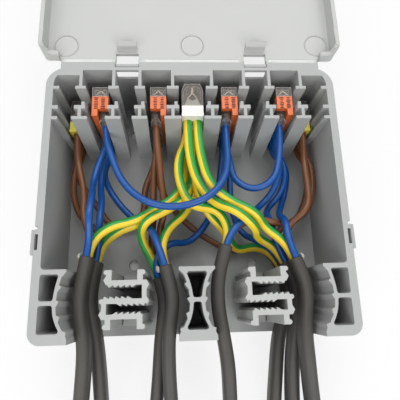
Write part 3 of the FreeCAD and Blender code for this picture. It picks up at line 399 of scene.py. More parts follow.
def mouldedPlastic(name, values):
    material, tree, shader = startMaterial(name, Specular_IOR_Level=values["gloss"], IOR=1.5)
    grain, shade = cloudyShade(tree, values)
    edge = placeGroup(tree, softEdge, Radius=values["edgeRadius"], Gain=values["edgeGain"])
    # Painted highlight: the edges take the lighter edge colour
    feedNode(tree, shader, Base_Color=mixColours(tree, edge.outputs["Mask"], shade, values["paintedEdgeHighlight"]),
             Roughness=spreadRoughness(tree, grain.outputs["Cloud"], values),
             Normal=bumpNormal(tree, grain.outputs["Height"], values, Normal=edge.outputs["Normal"]))
    return material


greyFinish = {"edgeGain": 3.0, "bumpDepth": 0.00005}
coverFinish = {"gloss": 0.5, "grainScale": 3000.0, "cloudScale": 120.0, "edgeRadius": 0.00025, "edgeGain": 2.5,
               "roughLow": 0.30, "roughHigh": 0.42, "bump": 0.12, "bumpDepth": 0.00005}
# The edge colour of every moulded plastic is a painted highlight along its edges
mouldedPlastics = {
    "trayPlastic": {**greyFinish, "gloss": 0.35, "grainScale": 2600.0, "cloudScale": 30.0, "edgeRadius": 0.00035,
                    "darkShade": tone(166, 168, 167), "lightShade": tone(178, 180, 178),
                    "paintedEdgeHighlight": tone(205, 208, 204), "roughLow": 0.42, "roughHigh": 0.58, "bump": 0.25},
    # The lid is the tray's own plastic, painted lighter for the stronger light that falls on it: painted light
    "lidPlasticPaintedLight": {**greyFinish, "gloss": 0.35, "grainScale": 2200.0, "cloudScale": 22.0, "edgeRadius": 0.0004,
                   "darkShade": tone(184, 186, 184), "lightShade": tone(196, 197, 194),
                   "paintedEdgeHighlight": tone(216, 217, 213), "roughLow": 0.40, "roughHigh": 0.55, "bump": 0.2},
    # The hinge film is the tray's own plastic, painted near white as a painted highlight along the hinge
    "filmPlasticPaintedHighlight": {**greyFinish, "gloss": 0.4, "grainScale": 2200.0, "cloudScale": 60.0, "edgeRadius": 0.0001,
                    "darkShade": tone(222, 224, 221), "lightShade": tone(232, 234, 230),
                    "paintedEdgeHighlight": tone(240, 241, 238), "roughLow": 0.35, "roughHigh": 0.5, "bump": 0.1},
    "clampPlastic": {**greyFinish, "gloss": 0.4, "grainScale": 2600.0, "cloudScale": 60.0, "edgeRadius": 0.0003,
                     "darkShade": tone(176, 178, 176), "lightShade": tone(190, 192, 189),
                     "paintedEdgeHighlight": tone(214, 216, 212), "roughLow": 0.38, "roughHigh": 0.52, "bump": 0.2},
    "coverOrange": {**coverFinish, "darkShade": tone(216, 97, 40), "lightShade": tone(232, 119, 58),
                    "paintedEdgeHighlight": tone(244, 150, 94)},
    "coverYellow": {**coverFinish, "darkShade": tone(214, 198, 52), "lightShade": tone(228, 214, 74),
                    "paintedEdgeHighlight": tone(246, 236, 120)},
    "coverWhite": {**coverFinish, "darkShade": tone(232, 230, 218), "lightShade": tone(243, 242, 232),
                   "paintedEdgeHighlight": tone(252, 251, 244)},
}

# Clear housings: a wall, an edge and a wall seen aslant each cover their own share of what is behind, and the edges
# carry a painted highlight
clearWalls = {"ior": 1.5, "grainScale": 900.0, "cloudScale": 260.0, "darkShade": tone(112, 102, 94),
              "lightShade": tone(158, 150, 142), "paintedEdgeHighlight": tone(232, 231, 229), "edgeRadius": 0.00045,
              "edgeGain": 7.0, "wallCover": 0.30, "edgeCover": 0.96, "slantCover": 0.35, "slantIor": 1.35,
              "roughLow": 0.05, "roughHigh": 0.16}


def clearPlastic(values):
    # Thin smoky walls that show what is behind them, with a painted highlight along their edges, where they also hide
    # more of it
    material, tree, shader = startMaterial("clearPlastic", Transmission_Weight=0.0, Metallic=0.0, IOR=values["ior"])
    grain, shade = cloudyShade(tree, values)
    edge = placeGroup(tree, softEdge, Radius=values["edgeRadius"], Gain=values["edgeGain"])
    cover = addNode(tree, "ShaderNodeMapRange", Value=edge.outputs["Mask"], To_Min=values["wallCover"],
                    To_Max=values["edgeCover"])
    rim = addNode(tree, "ShaderNodeFresnel", IOR=values["slantIor"])
    slant = mathNode(tree, "MULTIPLY", rim.outputs["Fac"], values["slantCover"])
    feedNode(tree, shader, Base_Color=mixColours(tree, edge.outputs["Mask"], shade, values["paintedEdgeHighlight"]),
             Alpha=mathNode(tree, "ADD", cover.outputs["Result"], slant, clamp=True),
             Roughness=spreadRoughness(tree, grain.outputs["Cloud"], values), Normal=edge.outputs["Normal"])
    return material


springStrip = {"grainScale": 1800.0, "cloudScale": 240.0, "darkShade": tone(150, 132, 118),
               "lightShade": tone(205, 190, 172), "roughLow": 0.22, "roughHigh": 0.42,
               "bump": 0.2, "bumpDepth": 0.00003}


def springMetal(values):
    material, tree, shader = startMaterial("springMetal", Metallic=1.0)
    grain, shade = cloudyShade(tree, values)
    feedNode(tree, shader, Base_Color=shade, Roughness=spreadRoughness(tree, grain.outputs["Cloud"], values),
             Normal=bumpNormal(tree, grain.outputs["Height"], values))
    return material


darkInk = {"gloss": 0.3, "grainScale": 5000.0, "cloudScale": 900.0, "darkShade": tone(70, 32, 24),
           "lightShade": tone(104, 46, 32), "roughLow": 0.5, "roughHigh": 0.7}


def inkSurface(values):
    material, tree, shader = startMaterial("markInk", Specular_IOR_Level=values["gloss"])
    grain, shade = cloudyShade(tree, values)
    feedNode(tree, shader, Base_Color=shade, Roughness=spreadRoughness(tree, grain.outputs["Height"], values))
    return material


def wirePlastic(name, values):
    material, tree, shader = startMaterial(name, Specular_IOR_Level=values["gloss"], IOR=1.5)
    marks = placeGroup(tree, lengthwiseMarks, Along_Scale=values["alongScale"], Around_Scale=values["aroundScale"])
    shade = mixColours(tree, marks.outputs["Streak"], values["darkShade"], values["lightShade"])
    if "stripeShade" in values:
        # Two stripes on opposite sides, which turn slowly round the wire
        twist = mathNode(tree, "MULTIPLY", marks.outputs["Along"], values["twist"])
        turned = mathNode(tree, "ADD", marks.outputs["Angle"], twist)
        wave = mathNode(tree, "COSINE", mathNode(tree, "MULTIPLY", turned, 2.0))
        start, soft = values["stripeStart"], values["stripeSoft"]
        band = addNode(tree, "ShaderNodeMapRange", {"interpolation_type": "SMOOTHSTEP"}, Value=wave,
                       From_Min=start - soft, From_Max=start + soft)
        shade = mixColours(tree, band.outputs["Result"], shade, values["stripeShade"])
    feedNode(tree, shader, Base_Color=shade, Roughness=spreadRoughness(tree, marks.outputs["Streak"], values),
             Normal=bumpNormal(tree, marks.outputs["Height"], values))
    return material


coreFinish = {"gloss": 0.45, "alongScale": 45.0, "aroundScale": 1.6, "roughLow": 0.3, "roughHigh": 0.44,
              "bump": 0.3, "bumpDepth": 0.00006}
wirePlastics = {
    "insulationBrown": {**coreFinish, "darkShade": tone(92, 55, 31), "lightShade": tone(130, 81, 48)},
    "insulationBlue": {**coreFinish, "darkShade": tone(4, 60, 124), "lightShade": tone(8, 90, 172),
                       "roughLow": 0.28, "roughHigh": 0.4},
    "sleeveGreenYellow": {**coreFinish, "darkShade": tone(240, 196, 34), "lightShade": tone(254, 224, 66),
                          "stripeShade": tone(50, 158, 70), "stripeStart": -0.04, "stripeSoft": 0.06, "twist": 3.0},
    "sheathGrey": {"gloss": 0.4, "alongScale": 30.0, "aroundScale": 2.4, "darkShade": tone(52, 50, 47),
                   "lightShade": tone(80, 77, 73), "roughLow": 0.42, "roughHigh": 0.6,
                   "bump": 0.5, "bumpDepth": 0.00006},
    "sheathFilling": {"gloss": 0.2, "alongScale": 30.0, "aroundScale": 6.0, "darkShade": tone(188, 182, 172),
                      "lightShade": tone(216, 210, 200), "roughLow": 0.7, "roughHigh": 0.9,
                      "bump": 0.6, "bumpDepth": 0.00006},
}

surfaces = {name: mouldedPlastic(name, values) for name, values in mouldedPlastics.items()}
surfaces.update({name: wirePlastic(name, values) for name, values in wirePlastics.items()})
surfaces["clearPlastic"] = clearPlastic(clearWalls)
surfaces["springMetal"] = springMetal(springStrip)
surfaces["markInk"] = inkSurface(darkInk)
print("materials made:", len(surfaces))


def dressNode(name, surface):
    node = nodes[name]
    node.data.materials.clear()
    node.data.materials.append(surfaces[surface])


dressNode("base_tray", "trayPlastic")
for side in ("left", "right"):
    dressNode("cable_clamp_" + side, "clampPlastic")
coverSurfaces = ["coverYellow", "coverOrange", "coverOrange", "coverWhite",
                 "coverOrange", "coverOrange", "coverYellow"]
for number, surface in enumerate(coverSurfaces, 1):
    dressNode("connector_%d_cover" % number, surface)
    dressNode("connector_%d_housing" % number, "clearPlastic")
    dressNode("connector_%d_contact" % number, "springMetal")
print("moulded parts dressed")


# Mesh helpers
def newMesh(name, vertices, faces, *surfaceNames):
    mesh = bpy.data.meshes.new(name)
    mesh.from_pydata([tuple(vertex) for vertex in vertices], [], faces)
    for surface in surfaceNames:
        mesh.materials.append(surfaces[surface])
    return mesh


def smoothMesh(mesh, sharpAngle=None):
    # Smooth all over, or up to the edges that turn more than an angle in degrees
    mesh.polygons.foreach_set("use_smooth", [True] * len(mesh.polygons))
    if sharpAngle is not None:
        mesh.set_sharp_from_angle(angle=math.radians(sharpAngle))


def storeMarkPlaces(mesh, along, around):
    # What the lengthwise marks follow: a length along the piece, and a direction round it
    mesh.attributes.new("along", "FLOAT", "POINT").data.foreach_set("value", along)
    mesh.attributes.new("around", "FLOAT_VECTOR", "POINT").data.foreach_set(
        "vector", [value for place in around for value in place])


# Flat cables
sheath = {
    "width": 0.0052,
    "height": 0.0090,
    "wall": 0.0009,
    "pocket": 0.0012,  # how deep the filling lies in the stripped end
    "edgeRound": 0.00025,
    "sides": 36,
    "sharpAngle": 40,
    "exitY": -0.0465,  # where the cables leave the tray
}


def slotOutline(width, height, count):
    # Points round a flat cable's section, starting at its right side and turning upwards
    radius = width / 2
    straight = height / 2 - radius
    points = []
    for index in range(count):
        angle = 2 * math.pi * (index + 0.5) / count
        lift = straight if math.sin(angle) > 0 else -straight
        points.append((radius * math.cos(angle), radius * math.sin(angle) + lift))
    return points


def makeSheath(number, points, values):
    line = routeLine(points)
    count = values["sides"]
    ways = [(after - before).normalized() for before, after in zip([line[0]] + line[:-1], line[1:] + [line[-1]])]
    bend = values["edgeRound"]
    whole = (values["width"], values["height"])
    inside = tuple(size - 2 * values["wall"] for size in whole)
    rounded = tuple(size - 2 * bend for size in whole)
    lip = tuple(size + bend for size in inside)
    start, startWay, end, endWay = line[0], ways[0], line[-1], ways[-1]
    # Filling, inner wall of the stripped end, its rounded lip, the skin, and the cut far end
    rings = [(start + startWay * values["pocket"], startWay, inside, 0.0),
             (start + startWay * bend, startWay, inside, 0.0),
             (start, startWay, lip, 0.0),
             (start, startWay, rounded, 0.0),
             (start + startWay * bend, startWay, whole, bend)]
    travelled = bend
    for before, here, way in zip(line[:-2], line[1:-1], ways[1:-1]):
        travelled += (here - before).length
        rings.append((here, way, whole, travelled))
    rings += [(end - endWay * bend, endWay, whole, travelled),
              (end, endWay, rounded, travelled),
              (end, endWay, inside, travelled)]
    vertices, along, around = [], [], []
    for place, way, (width, height), length in rings:
        side = way.cross(Vector((0, 0, 1))).normalized()
        up = side.cross(way)
        for x, y in slotOutline(width, height, count):
            vertices.append(place + side * x + up * y)
            along.append(length)
            around.append((2 * x / width, 2 * y / height, 0.0))
    lastRing = (len(rings) - 1) * count
    faces = [tuple(reversed(range(count)))]
    for base in range(0, lastRing, count):
        for index in range(count):
            a, b = base + index, base + (index + 1) % count
            faces.append((a, b, b + count, a + count))
    faces.append(tuple(range(lastRing, lastRing + count)))
    # The two end faces and the pocket's wall show the filling
    filled = [1] * (1 + count) + [0] * (len(faces) - count - 2) + [1]
    mesh = newMesh("cable_%d_sheath" % number, vertices, faces, "sheathGrey", "sheathFilling")
    mesh.polygons.foreach_set("material_index", filled)
    storeMarkPlaces(mesh, along, around)
    smoothMesh(mesh, values["sharpAngle"])
    piece = linkObject("cable_%d_sheath" % number, mesh)
    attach(piece, "base")
    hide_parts("cable_%d" % number)
    return piece, line


# Pale filling that shows beside the stripped end of some cables, to the left (-1) or the right (1)
filler = {
    "across": 0.0009,
    "along": 0.0014,
    "tall": 0.0027,
    "bulge": 0.25,
    "beside": 0.0028,
    "inside": 0.0004,
    "rise": 0.0006,
    "segments": 18,
    "rings": 12,
    "markLength": 0.003,
    "markSpread": 400,
    "sides": {1: -1, 3: -1, 8: 1},
}


def makeFiller(number, line, values):
    forward = (line[1] - line[0]).normalized()
    side = forward.cross(Vector((0, 0, 1))).normalized()
    if side.x * values["sides"][number] < 0:
        side = -side
    up = side.cross(forward)
    if up.z < 0:
        up = -up
    centre = line[0] + side * values["beside"] + forward * values["inside"] + up * values["rise"]
    work = bmesh.new()
    bmesh.ops.create_uvsphere(work, u_segments=values["segments"], v_segments=values["rings"], radius=1.0)
    for vertex in work.verts:
        x, y, z = vertex.co
        bent = values["bulge"] * (1 - z * z)
        vertex.co = (centre + side * (x * values["across"] + bent * values["across"])
                     + forward * y * values["along"] + up * z * values["tall"])
    bmesh.ops.recalc_face_normals(work, faces=work.faces)
    mesh = newMesh("cable_%d_filler" % number, [], [], "sheathFilling")
    work.to_mesh(mesh)
    work.free()
    smoothMesh(mesh)
    storeMarkPlaces(mesh, [values["markLength"] * vertex.co.z for vertex in mesh.vertices],
                    [(vertex.co - centre) * values["markSpread"] for vertex in mesh.vertices])
    piece = linkObject("cable_%d_filler" % number, mesh)
    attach(piece, "base")
    return piece


for number, points in enumerate(cableRoutes, 1):
    piece, line = makeSheath(number, points, sheath)
    extras = [makeFiller(number, line, filler)] if number in filler["sides"] else []
print("flat cables made:", len(cableRoutes))


# Geometry trees
def endTree(tree, geometry, given, result):
    # Every tree gives real geometry with the surface that it was handed
    real = addNode(tree, "GeometryNodeRealizeInstances", Geometry=geometry)
    paint = addNode(tree, "GeometryNodeSetMaterial", Geometry=real.outputs[0], Material=given["Surface"])
    feedNode(tree, result, Geometry=paint.outputs[0])
    return tree


def storeOnPoints(tree, name, kind, geometry, value):
    return addNode(tree, "GeometryNodeStoreNamedAttribute", {"data_type": kind, "domain": "POINT"},
                   Name=name, Geometry=geometry, Value=value).outputs[0]


def growPiece(name, vertices, edges, tree, values):
    # Runs a geometry tree over a few points or a line and keeps the plain mesh that it gives
    seed = bpy.data.meshes.new(name + "_seed")
    seed.from_pydata([tuple(v) for v in vertices], edges, [])
    holder = linkObject(name + "_seed", seed)
    modifier = holder.modifiers.new("grow", "NODES")
    modifier.node_group = tree
    for item in tree.interface.items_tree:
        if item.item_type == "SOCKET" and item.in_out == "INPUT" and item.name in values:
            modifier[item.identifier] = values[item.name]
    depsgraph = bpy.context.evaluated_depsgraph_get()
    mesh = bpy.data.meshes.new_from_object(holder.evaluated_get(depsgraph), depsgraph=depsgraph)
    holder.modifiers.remove(modifier)
    bpy.data.objects.remove(holder)
    bpy.data.meshes.remove(seed)
    mesh.name = name
    piece = linkObject(name, mesh)
    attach(piece, "base")
    return piece


# Cores and links
def makeCoreTree():
    # A round wire along a line, with its length and its side kept as attributes
    tree, given, result = newTree(
        "GeometryNodeTree", "coreAlongRoute",
        {"Geometry": "Geometry", "Radius": 0.0013, "Sides": 18, "Turn": 0.0, "Surface": "Material"},
        {"Geometry": "Geometry"})
    toCurve = addNode(tree, "GeometryNodeMeshToCurve", Mesh=given["Geometry"])
    upright = addNode(tree, "GeometryNodeSetCurveNormal", {"mode": "Z_UP"}, Curve=toCurve.outputs[0])
    spot = addNode(tree, "GeometryNodeSplineParameter")
    measured = storeOnPoints(tree, "along", "FLOAT", upright.outputs[0], spot.outputs["Length"])
    circle = addNode(tree, "GeometryNodeCurvePrimitiveCircle", Resolution=given["Sides"], Radius=given["Radius"])
    place = addNode(tree, "GeometryNodeInputPosition")
    turn = addNode(tree, "ShaderNodeVectorRotate", {"rotation_type": "Z_AXIS"}, Vector=place.outputs[0],
                   Angle=given["Turn"])
    unit = addNode(tree, "ShaderNodeVectorMath", {"operation": "NORMALIZE"}, Vector=turn.outputs[0])
    section = storeOnPoints(tree, "around", "FLOAT_VECTOR", circle.outputs["Curve"], unit.outputs[0])
    tube = addNode(tree, "GeometryNodeCurveToMesh", Curve=measured, Profile_Curve=section, Fill_Caps=True)
    smoothed = addNode(tree, "GeometryNodeSetShadeSmooth", Geometry=tube.outputs[0])
    return endTree(tree, smoothed.outputs[0], given, result)


coreTree = makeCoreTree()
coreShape = {"sides": 18, "sharpAngle": 50}
coreKinds = {
    "live": {"radius": 0.00145, "surface": "insulationBrown", "slot": "insulation_brown"},
    "neutral": {"radius": 0.00145, "surface": "insulationBlue", "slot": "insulation_blue"},
    "earth": {"radius": 0.00185, "surface": "sleeveGreenYellow", "slot": "sleeve_green_yellow"},
}
earthTurns = [2.3, 2.2, 2.4, 2.25, 0.75, 0.85, 0.7, 0.8]  # angles that bring each sleeve's stripes into view


def makeCore(node, points, values, turn=0.0):
    line = routeLine(points)
    edges = [(index, index + 1) for index in range(len(line) - 1)]
    piece = growPiece(node + "_wire", line, edges, coreTree, {
        "Radius": values["radius"], "Sides": coreShape["sides"], "Turn": turn,
        "Surface": surfaces[values["surface"]]})
    piece.data.set_sharp_from_angle(angle=math.radians(coreShape["sharpAngle"]))
    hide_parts(node)


for kind, values in coreKinds.items():
    for number in range(1, len(cableRoutes) + 1):
        turn = earthTurns[number - 1] if kind == "earth" else 0.0
        makeCore("%s_core_%d" % (kind, number), coreRoute(kind, number), values, turn)
for node in linkRoutes:
    makeCore(node, linkRoute(node), coreKinds["live" if node == "live_link" else "neutral"])
print("cores and links made")

# Dashes in two columns on the orange covers, in place of small print
marks = {
    "connectors": (2, 3, 5, 6),
    "mirrored": (2,),
    "columns": (0.32, 0.74),  # shares of the cover's width
    "rows": 7,
    "pitch": 0.00078,
    "fromBack": 0.0007,
    "size": (0.0017, 0.00048, 0.00004),
    "smallest": (0.55, 0.7, 1.0),
    "largest": (1.15, 1.3, 1.0),
}


def makeMarkTree(values):
    tree, given, result = newTree(
        "GeometryNodeTree", "markOnPoints",
        {"Geometry": "Geometry", "Mark Size": values["size"], "Seed": 4, "Surface": "Material"},
        {"Geometry": "Geometry"})
    points = addNode(tree, "GeometryNodeMeshToPoints", Mesh=given["Geometry"])
    block = addNode(tree, "GeometryNodeMeshCube", Size=given["Mark Size"])
    vary = addNode(tree, "FunctionNodeRandomValue", {"data_type": "FLOAT_VECTOR"}, Seed=given["Seed"])
    feedInTurn(tree, vary, values["smallest"], values["largest"])
    place = addNode(tree, "GeometryNodeInstanceOnPoints", Points=points.outputs[0], Instance=block.outputs["Mesh"],
                    Scale=vary.outputs[0])
    return endTree(tree, place.outputs[0], given, result)


markTree = makeMarkTree(marks)
for number in marks["connectors"]:
    low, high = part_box("connector_%d_cover" % number)
    spots = []
    for share in marks["columns"]:
        share = 1 - share if number in marks["mirrored"] else share
        x = low[0] + (high[0] - low[0]) * share
        spots += [(x, high[1] - marks["fromBack"] - row * marks["pitch"], high[2]) for row in range(marks["rows"])]
    piece = growPiece("connector_%d_marks" % number, spots, [], markTree,
                      {"Mark Size": marks["size"], "Seed": number, "Surface": surfaces["markInk"]})
print("cover marks made")

# The two latch windows, each between these distances from the middle
catchBay = (0.0220, 0.0319)

# Lid, drawn from its solid with squarer corners at the hinge
lid = {
    "panel": 0.0381,  # height of the panel's inner face
    "centre": (0.0515, 0.0677),  # middle of the right corner's arc, then its old and new radius
    "arc": 0.0099,
    "corner": 0.0021,
    "moving": (0.6, 0.8),  # a place starts to move at the first share of the arc, and moves fully from the second
    "nearEdge": 0.0088,
    "hingeHalf": 0.0542,
    "hingeStep": 0.0002,
    "skirt": 0.0075,
    "lowSkirt": 0.0013,
    "oldTaper": (0.0578, 0.0693),
    "skirtRise": (0.0580, 0.0608),
    "sideFrom": (0.0575, 0.0603),
    "oldRing": 0.0004,
    "ringZone": (0.0578, 0.0728),
    "keeper": (0.0619, 0.0639),
    "keeperFront": 0.0621,
    "keeperShare": (1.4, 0.66),
    "notch": 0.0588,
    "notchGrowth": 0.0024,
    "flatUpTo": 0.0755,  # the inner face is made one flat face again up to here
    "flatAngle": 0.3,
    "cutLines": [0.0583, 0.0590, 0.0597, 0.0604, 0.0611, 0.0618, 0.0625, 0.0632, 0.0645, 0.0660, 0.0677, 0.0693],
    "cutSides": (0.0214, 0.0325),
    "sharpAngle": 32,
    "flatNormal": 0.9999,  # a face that looks this squarely up or down is shaded flat
}
# Distances below which places count as on a level, as one, as on a cut and as on the middle
closeness = {"level": 0.00002, "merge": 0.000002, "cut": 0.000001, "middle": 0.000005}


def smoothStep(low, high, value):
    share = min(max((value - low) / (high - low), 0.0), 1.0)
    return share * share * (3 - 2 * share)


def squareCorner(x, y, values):
    # Moves a place in the round corner out towards a tighter one, and leaves the panel's middle alone
    across, back = x - values["centre"][0], values["centre"][1] - y
    reach = math.hypot(across, back)
    if across <= 0 or back <= 0:
        return x, y
    a, b = across / reach, back / reach
    side, radius = values["arc"], values["corner"]
    edge = side / max(a, b)
    if min(a, b) * edge > side - radius:
        middle = (a + b) * (side - radius)
        edge = middle + math.sqrt(max(middle ** 2 - 2 * (side - radius) ** 2 + radius ** 2, 0.0))
    first, full = values["moving"]
    scale = 1 + (edge / side - 1) * smoothStep(first * side, full * side, reach)
    return values["centre"][0] + across * scale, values["centre"][1] - back * scale


def flattenRings(work, values):
    # The solid's rings go back into the panel, the keepers get their own shape, and the windows reach deeper
    panel, level, merge = values["panel"], closeness["level"], closeness["merge"]
    halfWidth, nearHalf = values["ringZone"]
    for vertex in work.verts:
        x, y, z = vertex.co
        if panel + level < z < panel + values["oldRing"] and abs(x) < halfWidth and y < nearHalf:
            vertex.co.z = panel
        elif catchBay[0] < abs(x) < catchBay[1]:
            if values["keeper"][0] < y < values["keeper"][1] and z > panel - level:
                vertex.co.y = values["keeperFront"] + (y - values["keeperFront"]) * values["keeperShare"][0]
                vertex.co.z = panel + (z - panel) * values["keeperShare"][1]
            elif abs(y - values["notch"]) < level:
                vertex.co.y += values["notchGrowth"]
    # What is left of the rings is merged away, and the inner face becomes one again
    bmesh.ops.remove_doubles(work, verts=work.verts, dist=merge)
    bmesh.ops.dissolve_degenerate(work, edges=work.edges, dist=merge)
    flat = [vertex for vertex in work.verts
            if abs(vertex.co.z - panel) < merge and vertex.co.y < values["flatUpTo"]]
    together = set(flat)
    bmesh.ops.dissolve_limit(work, angle_limit=math.radians(values["flatAngle"]), verts=flat,
                             edges=[edge for edge in work.edges if together.issuperset(edge.verts)])


def drawCorners(work, values):
    # New points along the skirt's ends and beside the hinge, then the corners and the skirt in their new shape
    hingeHalf, step = values["hingeHalf"], values["hingeStep"]
    cuts = [((0, level, 0), (0, 1, 0)) for level in values["cutLines"]]
    cuts += [((side * (hingeHalf + gap), 0, 0), (1, 0, 0)) for side in (-1, 1) for gap in (0.0, step)]
    cuts += [((side * reach, 0, 0), (1, 0, 0)) for side in (-1, 1) for reach in values["cutSides"]]
    for place, facing in cuts:
        bmesh.ops.bisect_plane(work, geom=work.verts[:] + work.edges[:] + work.faces[:], dist=closeness["cut"],
                               plane_co=place, plane_no=facing)
    panel, skirt, lowSkirt = values["panel"], values["skirt"], values["lowSkirt"]
    first, last = values["oldTaper"]
    for vertex in work.verts:
        x, y, z = vertex.co
        besideHinge = abs(x) > hingeHalf + step / 2
        newX, newY = squareCorner(abs(x), y, values)
        if besideHinge and newY < values["centre"][1]:
            newY = values["centre"][1] - (values["centre"][1] - newY) * values["nearEdge"] / values["arc"]
        if z > panel and y < last and besideHinge:
            taper = (y - first) / (last - first)
            rise = max(smoothStep(*values["sideFrom"], newX) * smoothStep(*values["skirtRise"], newY),
                       taper * smoothStep(*reversed(values["sideFrom"]), newX))
            oldHeight = lowSkirt + (skirt - lowSkirt) * taper
            height = lowSkirt + (skirt - lowSkirt) * rise
            z = panel + min((z - panel) / oldHeight * height, skirt)
        vertex.co = (math.copysign(newX, x), newY, z)


def shapeLid(values):
    mesh = nodes["lid"].data.copy()
    mesh.name = "lid_shell"
    work = bmesh.new()
    work.from_mesh(mesh)
    bmesh.ops.remove_doubles(work, verts=work.verts, dist=closeness["merge"])
    flattenRings(work, values)
    drawCorners(work, values)
    # Both halves are alike
    bmesh.ops.symmetrize(work, input=work.verts[:] + work.edges[:] + work.faces[:], direction="-X",
                         dist=closeness["middle"])
    bmesh.ops.recalc_face_normals(work, faces=work.faces[:])
    work.to_mesh(mesh)
    work.free()
    mesh.materials.clear()
    mesh.materials.append(surfaces["lidPlasticPaintedLight"])
    smoothMesh(mesh, values["sharpAngle"])
    for face in mesh.polygons:
        face.use_smooth = abs(face.normal.z) < values["flatNormal"]
    piece = linkObject("lid_shell", mesh)
    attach(piece, "lid")
    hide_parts("lid")


shapeLid(lid)

# Low round gate marks on the lid's inner face, each with a profile of radius and height that ends as a flat floor
gateRings = {
    "sides": 64,
    "sharpAngle": 50,
    "profile": [(0.0047, 0.03813), (0.00478, 0.03845), (0.00502, 0.03845), (0.0051, 0.03805),
                (0.00002, 0.03805), (0.00002, 0.03813)],
    "places": {"lid_ring_left": (-0.0523, 0.0647), "lid_ring_middle": (0.0004, 0.0653),
               "lid_ring_right": (0.0540, 0.0655)},
}


def makeRing(name, x, y, values):
    count, rows = values["sides"], len(values["profile"])
    vertices, faces = [], []
    for radius, z in values["profile"]:
        for index in range(count):
            angle = 2 * math.pi * index / count
            vertices.append((x + radius * math.cos(angle), y + radius * math.sin(angle), z))
    for row in range(rows):
        base, above = row * count, (row + 1) % rows * count
        for index in range(count):
            following = (index + 1) % count
            faces.append((base + index, above + index, above + following, base + following))
    mesh = newMesh(name, vertices, faces, "lidPlasticPaintedLight")
    smoothMesh(mesh, values["sharpAngle"])
    piece = linkObject(name, mesh)
    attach(piece, "lid")


for name, (x, y) in gateRings["places"].items():
    makeRing(name, x, y, gateRings)
print("lid shaped")

# Short bars that narrow the two latch windows in the ledge
latchBar = {"y": (0.0546, 0.0560), "z": (0.0367, 0.0385)}


def makeBar(name, low, high, values):
    corners = [(x, y, z) for z in values["z"] for y in values["y"] for x in (low, high)]
    faces = [(0, 2, 3, 1), (4, 5, 7, 6), (0, 1, 5, 4), (2, 6, 7, 3), (0, 4, 6, 2), (1, 3, 7, 5)]
    piece = linkObject(name, newMesh(name, corners, faces, "trayPlastic"))
    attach(piece, "base")


makeBar("latch_bar_left", -catchBay[1], -catchBay[0], latchBar)
makeBar("latch_bar_right", catchBay[0], catchBay[1], latchBar)

# Hinge film, with a bead along each side, open at the two latch windows
hinge = {
    "halfWidth": 0.0538,
    "steps": 12,
    "thickness": 0.00025,
    "profile": [(0.05690, 0.03849), (0.05705, 0.03872), (0.05722, 0.03872), (0.05734, 0.03842), (0.05755, 0.03822),
                (0.05776, 0.03832), (0.05790, 0.03858), (0.05806, 0.03858), (0.05822, 0.03815)],
}


def makeHingeFilm(values):
    steps, width = values["steps"], values["steps"] + 1
    vertices, faces = [], []
    spans = [(-values["halfWidth"], -catchBay[1]), (-catchBay[0], catchBay[0]), (catchBay[1], values["halfWidth"])]
    for low, high in spans:
        base = len(vertices)
        for y, z in values["profile"]:
            for step in range(width):
                vertices.append((low + (high - low) * step / steps, y, z))
        for row in range(len(values["profile"]) - 1):
            for step in range(steps):
                a = base + row * width + step
                faces.append((a, a + 1, a + 1 + width, a + width))
    # The film's near-white colour is a painted highlight along the hinge
    mesh = newMesh("hinge_film", vertices, faces, "filmPlasticPaintedHighlight")
    smoothMesh(mesh)
    piece = linkObject("hinge_film", mesh)
    thick = piece.modifiers.new("thickness", "SOLIDIFY")
    thick.thickness = values["thickness"]
    thick.offset = -1
    depsgraph = bpy.context.evaluated_depsgraph_get()
    solid = bpy.data.meshes.new_from_object(piece.evaluated_get(depsgraph), depsgraph=depsgraph)
    piece.modifiers.clear()
    piece.data = solid
    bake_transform(piece)


makeHingeFilm(hinge)
print("hinge film made")

# Floor, world and lamps
studio = {
    "floorHalf": 1.6,
    "floorDrop": 0.0002,
    "floorShade": (0.88, 0.88, 0.88, 1.0),
    "floorGlow": 0.80,
    "shadeHalf": {"X": 0.054, "Y": 0.050},  # under the tray the floor doesn't glow
    "shadeFade": 0.004,
    "worldLight": 0.33,
    "aim": (0.0, 0.0, 0.02),
    "boxSize": 0.35,
    "boxDistance": 0.62,
    "boxes": [(-125, 40, 1.35), (-62, 40, 1.35), (60, 42, 0.3), (140, 42, 0.3)],  # heading, height and power
    "topPower": 0.98,
    "topPlace": (0.02, 0.24, 0.42),
}


def seenDirectly(tree):
    # 1 for rays from the camera, and for those that gloss or a clear wall sends on
    path = addNode(tree, "ShaderNodeLightPath").outputs
    return mathNode(tree, "MAXIMUM", path["Is Camera Ray"],
                    mathNode(tree, "MAXIMUM", path["Is Glossy Ray"], path["Is Transmission Ray"]))


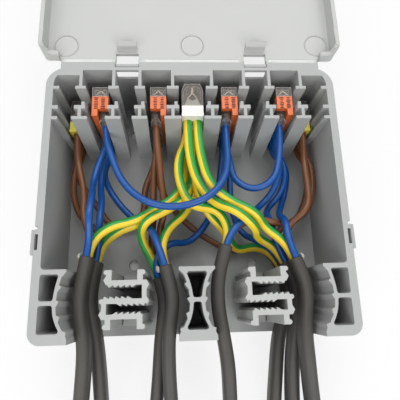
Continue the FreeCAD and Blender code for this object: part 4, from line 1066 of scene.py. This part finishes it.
def makeFloor(values):
    half = values["floorHalf"]
    mesh = bpy.data.meshes.new("floor")
    mesh.from_pydata([(-half, -half, 0), (half, -half, 0), (half, half, 0), (-half, half, 0)], [], [(0, 1, 2, 3)])
    floor = linkObject("floor", mesh)
    floor.location.z = -values["floorDrop"]
    material, tree, shader = startMaterial("floorWhite", Base_Color=values["floorShade"], Roughness=0.9)
    glow = addNode(tree, "ShaderNodeEmission", Strength=1.0)
    # Under the tray the floor keeps its real shade, which shows through the fixing holes
    spot = addNode(tree, "ShaderNodeTexCoord")
    parts = addNode(tree, "ShaderNodeSeparateXYZ", Vector=spot.outputs["Object"])
    clear = []
    for axis, reach in values["shadeHalf"].items():
        outside = mathNode(tree, "SUBTRACT", mathNode(tree, "ABSOLUTE", parts.outputs[axis]), reach)
        clear.append(mathNode(tree, "DIVIDE", outside, values["shadeFade"], clamp=True))
    share = mathNode(tree, "MULTIPLY", seenDirectly(tree), mathNode(tree, "MAXIMUM", *clear))
    share = mathNode(tree, "MULTIPLY", share, values["floorGlow"])
    output = next(node for node in tree.nodes if node.type == "OUTPUT_MATERIAL")
    feedNode(tree, output, Surface=mixShaders(tree, share, shader.outputs[0], glow.outputs[0]))
    mesh.materials.append(material)


def makeWorld(values):
    # White to look at, and weaker as a light
    world = bpy.data.worlds.new("studio")
    scene.world = world
    world.use_nodes = True
    tree = world.node_tree
    tree.nodes.clear()
    white = (1.0, 1.0, 1.0, 1.0)
    seenSky = addNode(tree, "ShaderNodeBackground", Color=white, Strength=1.0)
    lightSky = addNode(tree, "ShaderNodeBackground", Color=white, Strength=values["worldLight"])
    mix = mixShaders(tree, seenDirectly(tree), lightSky.outputs[0], seenSky.outputs[0])
    addNode(tree, "ShaderNodeOutputWorld", Surface=mix)


def makeLamp(name, power, place, values):
    lamp = bpy.data.lights.new(name, "AREA")
    lamp.energy = power
    lamp.size = values["boxSize"]
    holder = bpy.data.objects.new(name, lamp)
    holder.location = place
    away = Vector(values["aim"]) - Vector(place)
    holder.rotation_euler = away.to_track_quat("-Z", "Y").to_euler()
    scene.collection.objects.link(holder)


makeFloor(studio)
makeWorld(studio)
for number, (heading, height, power) in enumerate(studio["boxes"], 1):
    heading, height = math.radians(heading), math.radians(height)
    reach = studio["boxDistance"] * math.cos(height)
    place = (reach * math.cos(heading), reach * math.sin(heading), studio["boxDistance"] * math.sin(height))
    makeLamp("softbox_%d" % number, power, place, studio)
makeLamp("top_lamp", studio["topPower"], studio["topPlace"], studio)
scene.view_settings.view_transform = "Standard"
print("floor, world and lamps made")
